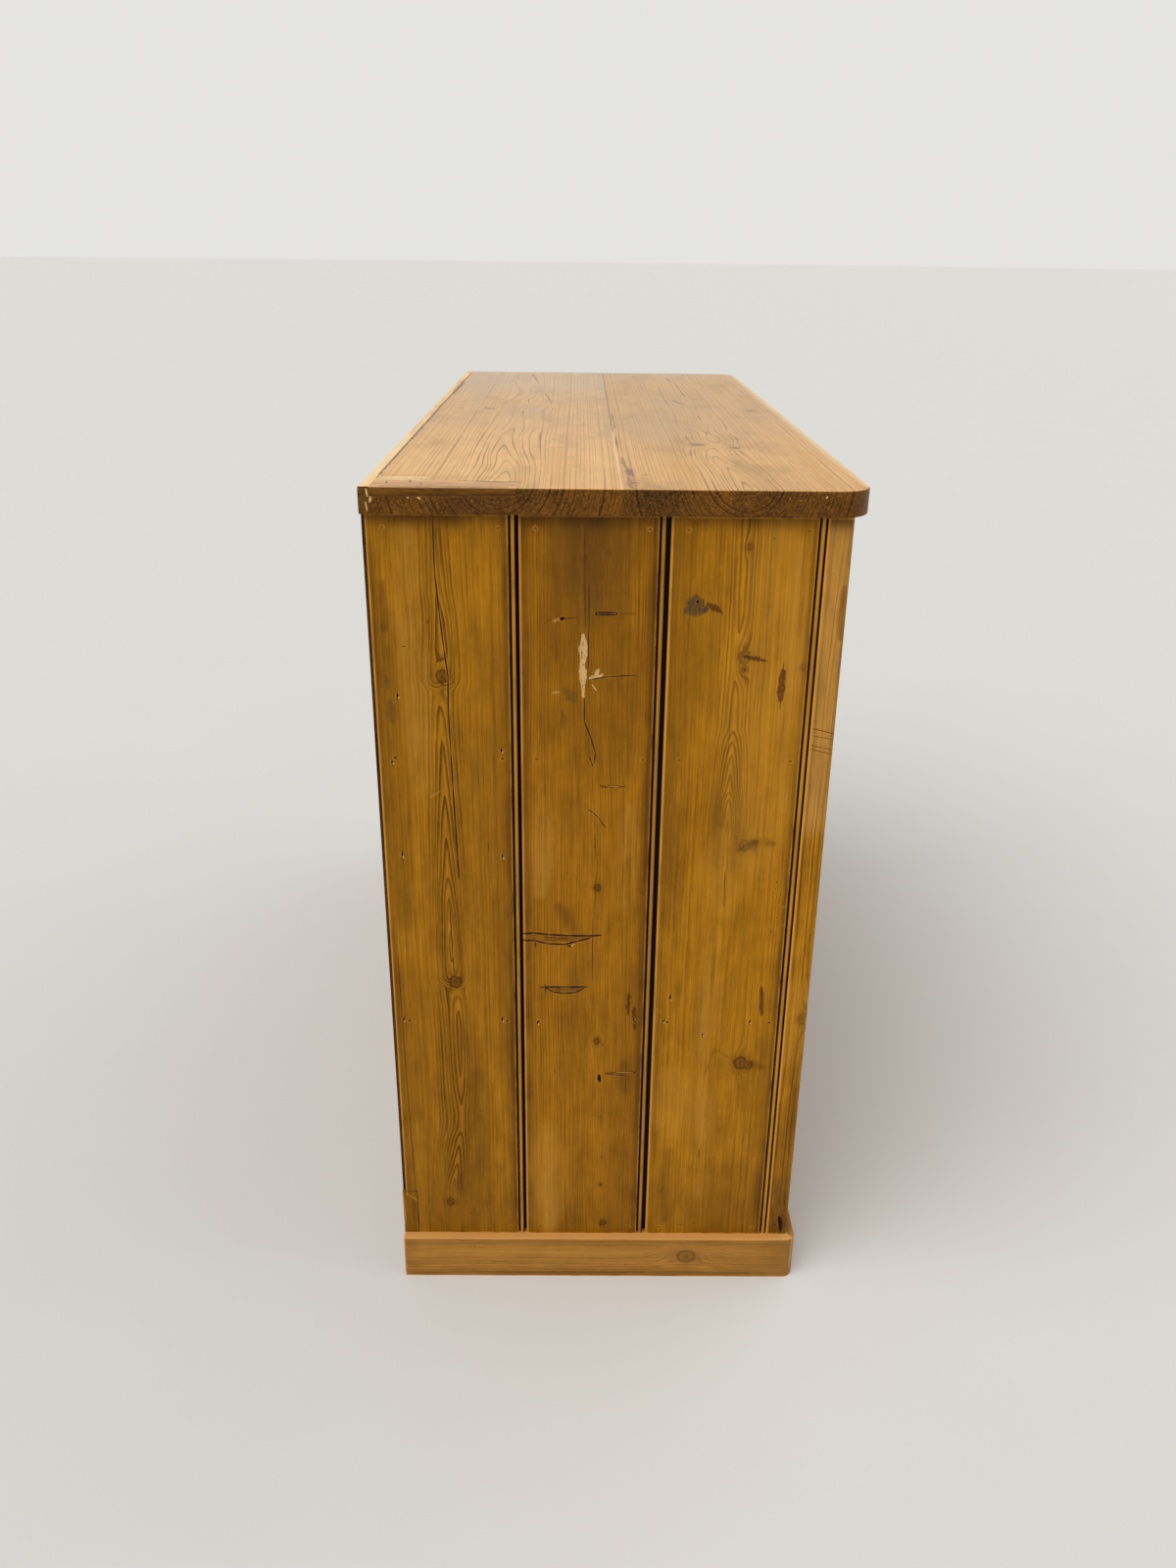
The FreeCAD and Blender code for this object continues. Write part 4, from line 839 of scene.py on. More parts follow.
    def wood(self):
        """The wood of the face: growth lines, drawn bolder in places, and the tone of its fibres."""
        tree, made = self.tree, self.made
        weight = (self.cloud * 2.6 - 0.4).most(0.15) * made.contrast
        if made.bold:
            zone = self.mask_of(list(strokes_of(made.bold)), self.flat, self.flat)
            weight = weight + zone * (1.0 - made.contrast)
        self.drawn = self.lines * weight.least(1.0) * self.fleck.ease(0.25, 0.6, 0.7, 1.0)
        body = blend(tree, self.drawn, self.pale, self.line)
        body = blend(tree, self.cloud.ease(0.5, 0.75) * 0.30, body, self.line)
        fine = ((self.streak - 0.5) * 0.85 + (self.hair - 0.5) * 0.9) * made.fibre
        value = fine + (self.cloud - 0.5) * made.blotch + 1.02 + (self.mottle - 0.5) * 0.75 * made.fibre
        body = vector_step(tree, "SCALE", body, value)
        body = blend(tree, self.fleck.ease(0.69, 0.76) * 0.4, body, self.deep)
        # Darker towards the sides and foot, and at the head with dirt and painted shade
        return blend(tree, self.edge_darkening() * made.soil, body, self.deep)

    def old_edges(self, body, tone):
        """Old finish on every side but the show face, pitted and worn pale in places."""
        tree = self.tree
        old = blend(tree, self.lines, scaled(tone, 1.35), scaled(tone, 0.4))
        old = vector_step(tree, "SCALE", old, self.fleck * 2.4 + self.cloud * 2.0 - 1.2)
        pits = noise(tree, self.seat, 0.3, 0.3, 2, 0.6)
        old = blend(tree, pits.ease(0.66, 0.72), old, GAP_DIRT_AND_SHADE)
        old = blend(tree, pits.ease(0.34, 0.27) * 0.6, old, scaled(tone, 2.8))
        return blend(tree, self.show_face, old, body)

    def end_grain(self, body):
        """Darkens the ends of the board."""
        dark = vector_step(self.tree, "SCALE", body, self.fleck * 0.7 + 0.3)
        return blend(self.tree, self.end_face * 0.7, body, dark)

    def knot_wood(self, body):
        """The rings, heart and rim of the knots, and the darker wood about them."""
        tree, near = self.tree, self.near
        ringed = (near * 2.6 + self.fleck * 0.8).fraction().ease(0.25, 0.85)
        between = [(dark + light) * 0.5 for dark, light in zip(self.line, self.pale)]
        knot = blend(tree, ringed, between, self.deep)
        knot = blend(tree, near.ease(0.45, 0.2), knot, scaled(self.line, 0.3))
        body = blend(tree, near.ease(1.08, 0.9) * 0.62, body, knot)
        body = blend(tree, (near - 1.05).size().ease(0.32, 0.08) * 0.75, body, self.deep)
        return blend(tree, near.ease(3.0, 1.0) * 0.30, body, self.line)

    def hidden_wood(self, body, tone):
        """Bare wood on the face away from the show face."""
        tree = self.tree
        bare = blend(tree, self.drawn, tone, scaled(tone, 0.6))
        bare = vector_step(tree, "SCALE", bare, self.streak * 0.5 + 0.75)
        return blend(tree, self.hidden_face, body, bare)

    def write(self, gloss, hidden_tone=None, edge_tone=None):
        """Builds the whole material. hidden_tone is the colour of the inner face, edge_tone of the edges."""
        tree, made, shader = self.tree, self.made, self.shader
        self.place()
        self.figure()
        self.fibres()
        body = self.wood()
        if edge_tone:
            face, rubbed = self.show_face, self.rubbed * self.show_face
            body = self.old_edges(body, scaled(edge_tone, made.edge_tint))
        else:
            face, rubbed = self.through.ease(*FACE_DEPTH), self.rubbed
        body = self.end_grain(body)
        if self.near is not None:
            body = self.knot_wood(body)
        body = self.moulding(self.paint_marks(body, face))
        rough = self.streak * -0.12 + self.drawn * 0.08 + self.grime * 0.2 + (self.roughness + 0.06)
        if hidden_tone:
            body = self.hidden_wood(body, hidden_tone)
            rough = rough + self.hidden_face * 0.22
        body = blend(tree, rubbed * made.rub, body, scaled(self.pale, 1.7, 0.03))
        # Inner corners darkened: dirt and painted shade
        body = blend(tree, self.grime * 0.5, body, scaled(self.line, 0.25))
        body = self.paint_marks(self.gaps(body), face, late=True)
        feed(tree, shader.inputs["Base Color"], body)
        feed(tree, shader.inputs["Roughness"], rough)
        shader.inputs["Specular IOR Level"].default_value = gloss
        raise_surface(tree, shader, self.streak * 0.5 + self.hair * 0.4 - self.drawn, RELIEF)
        return self.material


# Metal

METAL_RELIEF = 0.05


def metal_material(name, clean, aged, clean_roughness, aged_roughness):
    """Metal with patches of age, more of it in the corners."""
    material, tree, shader = new_material(name)
    point = millimetres(tree)
    patch = noise(tree, point, 0.16, 0.16, 4, 0.6)
    pit = noise(tree, point, 1.3, 1.3, 3, 0.6)
    rubbed, grime = use_group(tree, ARRIS, point)
    age = (patch.ease(0.42, 0.66) + grime).least(1.0)
    body = blend(tree, age, clean, aged)
    body = blend(tree, rubbed * 0.5, body, scaled(clean, 1.8))
    rough = age * (aged_roughness - clean_roughness) + clean_roughness + pit * 0.1
    feed(tree, shader.inputs["Base Color"], body)
    feed(tree, shader.inputs["Roughness"], rough)
    feed(tree, shader.inputs["Metallic"], age * -0.6 + 1.0)
    raise_surface(tree, shader, pit + patch * 2, METAL_RELIEF)
    return material


# Carving and wear of the wood's own shape

WELD_GAP = 1e-6
FLAT_ANGLE = 0.01
SHARP_ANGLE = math.radians(50)
SMOOTH_ANGLE = math.radians(34)
SHORT_EDGE = 8.0
FACE_SLACK = 0.1
ARRIS_STEPS = 3
PROUD = 0.6
PIT_SIDES = 10


class Carver:
    """Gathers the shapes that are cut out of one board."""

    def __init__(self, made):
        self.made = made
        self.draw = random.Random(made.seed)
        self.mesh = bmesh.new()

    def ring(self, points):
        """Points given as (across, along, through) become a ring of corners."""
        corners = []
        for across, along, through in points:
            place = [0.0, 0.0, 0.0]
            depth = self.made.face + self.made.inward * through
            for axis, value in zip(self.made.axes, (across, along, depth)):
                place["xyz".index(axis)] = value * MM
            corners.append(self.mesh.verts.new(place))
        return corners

    def skin(self, rings):
        """Closes a run of rings into one solid."""
        for first, second in zip(rings, rings[1:]):
            for place, corner in enumerate(first):
                after = (place + 1) % len(first)
                self.mesh.faces.new((corner, first[after], second[after], second[place]))
        self.mesh.faces.new(rings[0])
        self.mesh.faces.new(list(reversed(rings[-1])))

    def groove(self, points, width, depth):
        """A crack along points, narrow at the bottom and closing at both ends."""
        points = [Vector(point) for point in points]
        rings = []
        for place, point in enumerate(points):
            run = points[min(place + 1, len(points) - 1)] - points[max(place - 1, 0)]
            side = Vector((-run.y, run.x)).normalized()
            size = 0.3 if place in (0, len(points) - 1) else self.draw.uniform(0.8, 1.2)
            left, right = point - side * width * size, point + side * width * size
            rings.append(self.ring(((*left, -PROUD), (*right, -PROUD), (*point, depth * size))))
        self.skin(rings)

    def pit(self, start, end, width, depth):
        """A hole from start to end with a round, uneven rim."""
        start, end = Vector(start), Vector(end)
        middle, run = (start + end) / 2, (end - start)
        length = run.length / 2 + width
        run = run.normalized() if run.length else Vector((0, 1))
        side = Vector((-run.y, run.x))
        rim = []
        for turn in range(PIT_SIDES):
            angle = turn * math.tau / PIT_SIDES
            size = self.draw.uniform(0.85, 1.15)
            rim.append(run * math.cos(angle) * length * size + side * math.sin(angle) * width * size)
        levels = ((1.1, -PROUD), (1.0, 0.25 * depth), (0.5, depth))
        self.skin([self.ring([(*(middle + spoke * size), through) for spoke in rim])
                   for size, through in levels])

    def chip(self, place, size):
        """A splinter broken off at a place, both in millimetres of the row frame."""
        made = bmesh.ops.create_icosphere(self.mesh, subdivisions=2, radius=1.0)
        for corner in made["verts"]:
            rough = self.draw.uniform(0.75, 1.2)
            corner.co = Vector([(p + c * s * rough) * MM for p, c, s in zip(place, corner.co, size)])

    def cut(self, piece):
        """Cuts everything gathered out of a piece."""
        for tone, width, _, *points in self.made.marks:
            depth = MARK_TONES[tone].cut
            if tone == "crack":
                self.groove(points, width, depth)
            elif depth:
                for start, end in zip(points, points[1:]):
                    self.pit(start, end, width * 0.9, depth)
        for place, size in self.made.chips:
            self.chip(place, size)
        if self.mesh.faces:
            bmesh.ops.recalc_face_normals(self.mesh, faces=self.mesh.faces)
            shape = bpy.data.meshes.new("carving")
            self.mesh.to_mesh(shape)
            tool = bpy.data.objects.new("carving", shape)
            bpy.context.collection.objects.link(tool)
            carve = piece.modifiers.new("carve", "BOOLEAN")
            carve.object = tool
            carve.solver = "EXACT"
            carve.use_self = True
            graph = bpy.context.evaluated_depsgraph_get()
            piece.data = bpy.data.meshes.new_from_object(piece.evaluated_get(graph), depsgraph=graph)
            piece.modifiers.clear()
            bpy.data.objects.remove(tool)
        self.mesh.free()


def record_slot(node):
    """The material slot that the part's record gives a node."""
    return next(part["material_slot"] for part in frame["record"]["subparts"] if part["node"] == node)


def on_one_face(edge, made):
    """Whether an edge lies in the board's show face or in the face behind it."""
    deep = "xyz".index(made.axes[2])
    depths = [abs(corner.co[deep] / MM - made.face) for corner in edge.verts]
    return max(depths) < FACE_SLACK or min(depths) > made.thickness - FACE_SLACK


def worn_copy(node, made, material, arris):
    """A copy of a node with rounded edges and its own carving, which stands for the node."""
    mesh = bmesh.new()
    mesh.from_mesh(frame["nodes"][node].data)
    bmesh.ops.remove_doubles(mesh, verts=mesh.verts, dist=WELD_GAP)
    bmesh.ops.dissolve_limit(mesh, angle_limit=FLAT_ANGLE, verts=mesh.verts, edges=mesh.edges)
    edges = [edge for edge in mesh.edges if edge.is_convex and edge.calc_length() > SHORT_EDGE * MM
             and edge.calc_face_angle(0) > SHARP_ANGLE and (not made.flush or on_one_face(edge, made))]
    bmesh.ops.bevel(mesh, geom=edges, offset=arris, offset_type="OFFSET", segments=ARRIS_STEPS, profile=0.5,
                    affect="EDGES", clamp_overlap=True)
    shape = bpy.data.meshes.new(f"{node}_worn")
    mesh.to_mesh(shape)
    mesh.free()
    piece = bpy.data.objects.new(f"{node}_worn", shape)
    bpy.context.collection.objects.link(piece)
    Carver(made).cut(piece)
    piece.data.shade_smooth()
    piece.data.set_sharp_from_angle(angle=SMOOTH_ANGLE)
    even = piece.modifiers.new("even_normals", "WEIGHTED_NORMAL")
    even.keep_sharp = True
    piece.data.materials.clear()
    piece.data.materials.append(material)
    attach(piece, body_of(frame["nodes"][node])[0])
    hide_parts(node)
    record_slot(node)


def dress(node, material):
    """Gives a node of the frame its finish."""
    target = frame["nodes"][node]
    if not target.material_slots:
        target.data.materials.append(material)
    for held in target.material_slots:
        held.material = material


# Across an end: the outside of each board's bead, its far edge with a painted highlight, and the joints
# beside it
END_EDGES = {
    "back": dict(bead=101.7, lit_edge=240.4, joints=(100.5,)),
    "middle": dict(bead=-38.8, lit_edge=98.6, joints=(100.5, -41)),
    "front": dict(bead=-186.8, lit_edge=-43.4, joints=(-41, -187.5)),
}

# The left end, as it shows in the picture

LEFT_BACK = dict(
    END_EDGES["back"], spacing=4.4, wide=3.5, depth=1.5, reach=19, contrast=0.36, eave=0.4, seed=1.3,
    tint=(0.98, 0.98, 1.05), face_across=(106, 241), lit_edge=240.2, lit_width=1.5,
    heart=((58, 186), (105, 187), (150, 182), (200, 176), (240, 172), (330, 171), (410, 173),
           (480, 175.5), (560, 176), (640, 176), (720, 176.5), (758, 175), (800, 174), (850, 177),
           (915, 178)),
    arches=((58, -5), (105, -5), (125, -4), (148, -3), (170, -2), (198, -1), (228, 0), (245, -0.3),
            (300, -1.5), (402, -2), (419, -6.5), (450, -6), (480, -5.2), (505, -4.6), (525, -3.9),
            (542, -3.2), (580, -2.4), (600, -2), (637, -1.2), (682, -0.5), (723, 0.1), (742, 0),
            (759, -3), (800, -2.2), (830, -1.5), (860, -1), (915, -0.5)),
    bold=(("bold", 36, 0.9, (178, 130), (176, 420), (176, 890)),),
    knots=(((175, 758), 5, 2.6, 2.2), ((173, 410), 5.5, 2.6, 2.2), ((188.5, 105), 4, 2.2, 1.6)),
    marks=(
        # Checks along the heart, and a drip of resin
        ("crack", 0.62, 0.4, (178, 914), (178, 860), (175, 820), (172, 785), (169, 758), (170, 720),
         (169, 680), (168, 640), (167, 600), (166, 560), (165, 536)),
        ("crack", 0.4, 0.4, (176, 505), (175, 445), (174, 418)),
        ("resin", 0.7, 0.5, (234, 445), (233, 360), (232, 275), (229, 110)),
        # Joint of the corner patch
        ("seam", 0.9, 0.5, (227.4, 120), (227.4, 60)),
        ("seam", 0.9, 0.5, (227.4, 120.5), (236, 119.6), (246, 121)),
        # Broad changes of tone
        ("dim", 110, 1.0, (175, 330), (175, 60)), ("dim", 46, 1.0, (220, 420), (220, 230)),
        ("dim", 26, 1.0, (224, 800), (224, 480)), ("dim", 45, 1.0, (125, 780), (125, 300)),
        # Smudges near the back edge
        ("haze", 9, 0.9, (228, 850), (227, 805)), ("smoke", 6, 0.95, (229, 757), (228, 746)),
        ("smoke", 7, 0.95, (226, 733), (225, 710)), ("smoke", 3, 0.9, (230.5, 811), (230, 803)),
        *specks("smoke", 1.2, (234, 710), (233, 730), (223, 711), (231, 742), (222, 728), (229, 695)),
        ("haze", 13, 1.0, (226, 785), (228, 675)), ("haze", 9, 1.0, (229, 650), (226, 530)),
        ("haze", 12, 1.0, (240, 910), (239, 500), (237, 120)),
        # Old wax
        ("haze", 24, 1.0, (152, 290), (160, 80)), ("haze", 16, 1.0, (112, 910), (110, 100)),
        ("glow", 26, 1.0, (205, 900), (200, 640)),
        # A scratch, nails and pin holes
        ("rub", 0.9, 0.8, (192, 629), (181, 636)), ("resin", 0.7, 0.5, (134, 579), (134, 567)),
        *nail(218.5, 737, 3.5), *nail(227.5, 667), *nail(222.5, 563, 5), *nail(118, 680, 3.5),
        *nail(119, 562, 4), *nail(122.7, 361, 5), *nail(231, 360, 4), *stopped_nails("stop", 225, 117.7),
        *specks("resin", 1.5, (165, 87), (229, 120), (204, 195), (211, 787), (187, 812)),
    ),
)
LEFT_MIDDLE = dict(
    END_EDGES["middle"], spacing=2.9, depth=3, reach=8, contrast=0.36, eave=0.42, seed=2.7,
    tint=(0.865, 0.83, 0.74), face_across=(-32, 99),
    heart=((58, 9), (130, 12), (280, 14), (400, 24), (480, 24), (600, 24), (680, 30), (800, 35),
           (915, 38)),
    knots=(((21, 527), 3, 2, 0.8), ((19, 334), 3, 2, 0.8), ((8, 74), 3, 2, 0.8), ((12, 132), 1.8, 2, 0.5),
           ((38, 875), 1.8, 2, 0.6)),
    marks=(
        # Old wax and broad changes of tone
        ("haze", 20, 1.0, (8, 900), (6, 800)), ("haze", 16, 1.0, (26, 910), (15, 880)),
        ("haze", 22, 1.0, (66, 870), (62, 780)), ("haze", 26, 1.0, (-2, 800), (-5, 660)),
        ("haze", 16, 1.0, (62, 505), (40, 470)), ("haze", 26, 1.0, (38, 440), (45, 290)),
        ("haze", 13, 1.0, (97, 910), (95, 70)), ("haze", 12, 1.0, (-30, 905), (-30, 80)),
        ("haze", 14, 1.0, (-12, 305), (-15, 265)), ("haze", 60, 1.0, (40, 900), (40, 800)),
        ("stain", 70, 1.0, (30, 925), (30, 835)), ("dim", 105, 1.0, (30, 915), (30, 700)),
        ("dim", 60, 1.0, (24, 815), (24, 710)), ("warm", 40, 1.0, (75, 210), (75, 70)),
        ("dim", 42, 1.0, (-18, 420), (-18, 120)),
        # Smudge beside the scar, and worn places
        ("smoke", 10, 0.75, (52, 743), (47, 735)), ("smoke", 4, 0.7, (56, 748), (54, 738)),
        ("stain", 4, 0.9, (58, 724), (57, 706)), ("glow", 22, 1.0, (74, 200), (72, 60)),
        ("glow", 22, 1.0, (75, 640), (80, 520)), ("glow", 16, 1.0, (-10, 620), (-8, 500)),
        ("warm", 4, 1.0, (40, 905), (40.5, 850), (39, 800)),
        ("resin", 0.8, 0.7, (37.5, 905), (37, 860), (36, 808)), ("rub", 2.2, 0.8, (76, 86), (74, 83)),
        ("crack", 0.45, 0.4, (33, 850), (32.5, 803)),
        # Slots and a nail above the scar
        ("rub", 2.0, 0.4, (67, 814), (59, 817)), ("hole", 2.0, 0.4, (59.5, 816.5), (57, 816.5)),
        ("resin", 0.9, 0.6, (72, 815), (44, 818)), ("resin", 1.5, 0.4, (26, 822), (6, 822)),
        ("crack", 0.55, 0.4, (27, 823.4), (6, 823.2)), ("crack", 0.5, 0.4, (27, 820.6), (6, 820.8)),
        ("resin", 0.5, 0.6, (5, 822), (-13, 822.5)), *specks("hole", 1.0, (26, 821.5), (6, 822)),
        ("bare", 4.4, 0.12, (37.6, 800), (37.6, 775)), ("bare", 3.7, 0.12, (38.8, 777), (37.6, 752)),
        ("bare", 1.7, 0.2, (38, 753), (37.5, 738)),
        *specks("smoke", 1.0, (39, 793), (37, 788), (38.5, 783), (36.5, 779), (38, 774), (39.5, 787),
                (36, 794)), ("bare", 2.4, 0.15, (31, 757.5), (19, 761)),
        ("bare", 1.8, 0.15, (26, 761), (22, 766)), ("bare", 0.9, 0.3, (29, 751), (25, 745)),
        ("rub", 2.0, 0.5, (68, 742), (61, 743)), ("crack", 0.5, 0.4, (33, 803), (33, 768)),
        ("crack", 0.55, 0.5, (31, 756), (14, 759), (-14, 761)),
        ("crack", 0.55, 0.4, (36, 737), (36, 712), (30, 697), (25, 680), (25.5, 668)),
        ("crack", 0.5, 0.4, (27, 664), (28.5, 669), (31, 675)),
        # Slot and checks below the scar
        ("resin", 1.7, 0.5, (19, 643), (-5, 643)), ("rub", 0.8, 0.5, (12, 643), (1, 643)),
        ("crack", 0.5, 0.4, (31, 617), (26, 613), (21, 608), (13.5, 597)),
        ("resin", 0.5, 0.6, (24, 590), (23, 560)), ("resin", 0.5, 0.6, (22, 545), (24, 500)),
        # Upper gouge
        ("haze", 5.5, 0.5, (98, 466.5), (60, 464), (30, 467)),
        ("stain", 4.5, 0.8, (66, 465), (26, 467.5)), ("stain", 2.4, 0.8, (98, 470), (76, 470)),
        ("crack", 1.0, 0.4, (99, 470.7), (88, 472), (72, 470), (50, 468.8), (29, 468.8), (16, 469.5)),
        ("crack", 0.9, 0.4, (99, 462.9), (86, 462.4), (74, 458.8), (55, 458), (41, 462), (28, 466)),
        ("crack", 0.4, 0.4, (77, 466.5), (62, 466), (50, 464.8)),
        ("crack", 0.5, 0.4, (86, 461), (85.5, 454)), ("hole", 1.2, 0.4, (52, 456.6), (48.5, 455.6)),
        ("bare", 0.8, 0.3, (53, 456.5), (48, 455.5), (45, 458.5)),
        # Lower gouge
        ("haze", 4, 0.5, (68, 401), (38, 401)), ("stain", 3.4, 0.8, (66, 401), (36, 402)),
        ("crack", 0.95, 0.4, (81, 404), (55, 404.6), (30, 404.8)),
        ("crack", 0.8, 0.4, (75, 403), (67, 398), (55, 396.2), (43, 397.6), (33.7, 403)),
        ("crack", 0.4, 0.4, (65, 404), (55, 401), (41, 404)),
        ("crack", 0.5, 0.4, (75.4, 408), (75.2, 397)), ("crack", 0.35, 0.5, (25, 490), (25, 408)),
        # Nails, resin and the slot near the foot
        *nail(84, 357, 3), ("resin", 2.6, 0.4, (-15, 396), (-15, 370)),
        ("resin", 2.8, 0.4, (-21.5, 378), (-22.5, 350)), *stopped_nails("plug", 83.2, -22.8),
        *nail(-22, 362, 3), ("hole", 2.5, 0.4, (15.6, 287), (15, 279)),
        ("resin", 0.5, 0.6, (13, 270), (12, 215)), ("resin", 1.9, 0.5, (8, 291), (-27, 293)),
        ("rub", 0.9, 0.5, (-3, 292), (-22, 292)), ("crack", 0.5, 0.4, (8, 290), (-2, 288.6), (-14, 288)),
        ("resin", 0.6, 0.5, (66, 296), (64.5, 291)),
        *specks("resin", 1.5, (24, 575), (12, 329), (11, 172), (14, 230)),
    ),
)
LEFT_FRONT = dict(
    END_EDGES["front"], spacing=4.2, wide=3.3, depth=1.5, reach=18, contrast=0.34, eave=0.4, seed=4.1,
    tint=(1.05, 1.05, 1.0), face_across=(-180, -43),
    heart=((58, -108), (300, -109), (560, -111), (716, -111), (780, -112.5), (915, -113)),
    arches=((58, -7), (560, -7), (605, -6.4), (620, -6), (633, -5), (642, -4), (665, -3), (684, -2),
            (697, -1), (716, 0), (915, 0)),
    bold=(("bold", 46, 0.9, (-118, 915), (-114, 700), (-112, 560)),),
    knots=(((-118, 780), 5, 2.4, 1.5), ((-119, 768), 3, 2.0, 0.8), ((-130, 577), 4.5, 1.5, 1.2),
           ((-138, 578), 4.5, 1.5, 0.8), ((-142, 306), 6, 1.5, 1.4), ((-151, 303), 4, 1.5, 0.8),
           ((-116, 887), 2.4, 2.0, 0.6), ((-175, 770), 2.4, 2.0, 0.5)),
    marks=(
        # Broad changes of tone
        ("dim", 48, 1.0, (-52, 900), (-52, 700)), ("warm", 75, 1.0, (-142, 900), (-138, 560)),
        ("dim", 80, 1.0, (-135, 150), (-150, 40)), ("warm", 40, 1.0, (-112, 590), (-112, 500)),
        ("dim", 40, 1.0, (-165, 330), (-165, 190)), ("warm", 40, 1.0, (-70, 290), (-70, 210)),
        # Burnt knot near the top
        ("soot", 9, 0.3, (-64, 835), (-72, 834)), ("soot", 7, 0.3, (-60, 826), (-78, 827)),
        ("smoke", 8, 0.5, (-62, 832), (-76, 828)), ("resin", 4, 0.4, (-80, 832), (-93, 825)),
        *specks("hole", 1.3, (-70, 834)),
        # Knots and a resin pocket
        ("resin", 3.0, 0.6, (-117, 781), (-138, 777)), ("resin", 1.2, 0.5, (-120, 779), (-140, 777)),
        ("resin", 2.2, 0.7, (-118, 768), (-119, 766)), ("resin", 4.4, 0.35, (-156, 766), (-156, 736)),
        ("resin", 1.0, 0.5, (-156, 774), (-156, 728)),
        *specks("rub", 0.8, (-155, 757), (-157, 749), (-155, 742)),
        ("stain", 5, 0.8, (-124, 572), (-143, 582)), ("haze", 10, 1.0, (-140, 582), (-160, 580)),
        # A line of resin, worm holes and nails
        ("resin", 0.6, 0.5, (-112, 547), (-113, 505)),
        *specks("hole", 0.7, (-175, 560), (-167, 535), (-166, 527), (-164, 517), (-177, 505), (-170, 492),
                (-165, 475), (-179, 548), (-172, 520), (-176, 483)), *nail(-61, 390, 5),
        *nail(-54.5, 360, 3), *nail(-98.5, 343, 2), *nail(-150, 360, 3.5),
        ("resin", 3.0, 0.5, (-160, 406), (-162, 370)), *stopped_nails("plug", -58.8, -170.8),
        # Swirl round the lower knot, and small marks
        ("stain", 1.3, 0.7, (-103, 290), (-107, 305), (-112, 325), (-120, 320), (-130, 312)),
        ("haze", 10, 0.9, (-150, 306), (-168, 300)), ("resin", 0.8, 0.6, (-102, 184), (-102.5, 171)),
        ("resin", 0.7, 0.6, (-60, 126), (-58, 119)), ("stain", 0.9, 0.6, (-79, 72), (-91, 71)),
        *specks("resin", 1.2, (-155, 210), (-166, 175), (-139, 895)),
        # Old wax
        ("haze", 12, 1.0, (-178, 200), (-176, 60)), ("haze", 22, 1.0, (-62, 800), (-60, 480)),
        ("haze", 24, 1.0, (-66, 180), (-64, 80)), ("haze", 22, 1.0, (-60, 905), (-60, 860)),
        ("glow", 22, 1.0, (-105, 480), (-104, 120)), ("glow", 18, 1.0, (-165, 890), (-168, 620)),
    ),
)
LEFT_STILE = dict(
    spacing=5.2, depth=16, taper=0.006, contrast=1.0, seed=5.2, fibre=1.4, tint=(1.1, 1.12, 1.3),
    soil=0.35, joints=(-187.5,), lit_edge=-188.8, lit_width=1.5, eave=0.6,
    heart=((58, -232), (480, -238), (915, -254)),
    knots=(((-203, 74), 5, 2.0, 1.5), ((-208, 365), 5, 3.5, 1.4)),
    marks=(
        # Broad changes of tone, and the pale rubbed band
        ("fair", 60, 1.0, (-200, 920), (-200, 610)), ("pale", 7, 0.8, (-186, 697), (-214, 693)),
        ("dim", 70, 1.0, (-200, 240), (-200, 30)), ("stain", 44, 1.0, (-200, 130), (-200, 40)),
        ("warm", 50, 1.0, (-200, 400), (-200, 320)), ("haze", 40, 1.0, (-200, 190), (-200, 30)),
        # Scratches across the band
        ("resin", 0.7, 0.5, (-186, 708), (-214, 701)), ("resin", 0.5, 0.5, (-186, 700), (-214, 695)),
        ("resin", 0.5, 0.5, (-186, 690), (-214, 684)), ("resin", 0.6, 0.5, (-186, 686), (-214, 679)),
        # Chips, old wax, a knot hole, and painted shade along the front arris
        *specks("bare", 1.0, (-196, 866)), ("hole", 3.4, 0.7, (-203, 84), (-206, 63)),
        ("haze", 12, 1.0, (-205, 420), (-204, 60)),
        # Painted shade along the front arris
        ("stain", 4.5, 0.9, (-212.5, 915), (-212.5, 740), (-212.5, 640)),
        ("stain", 3.5, 0.9, (-212.5, 640), (-212.5, 420), (-212.5, 60)),
        ("haze", 7, 0.9, (-208, 850), (-209, 800)),
    ),
)
LEFT_CORNER = dict(
    depth=14, taper=0, knots=(), contrast=0.4, rub=0.1, tint=(0.92, 0.92, 1.0),
    marks=(
        ("rub", 1.6, 0.7, (244, 118), (244, 60)), ("haze", 5, 1.0, (232, 110), (233, 60)),
    ),
)

# The top, as it shows in the picture: points are (across the depth, along the length)

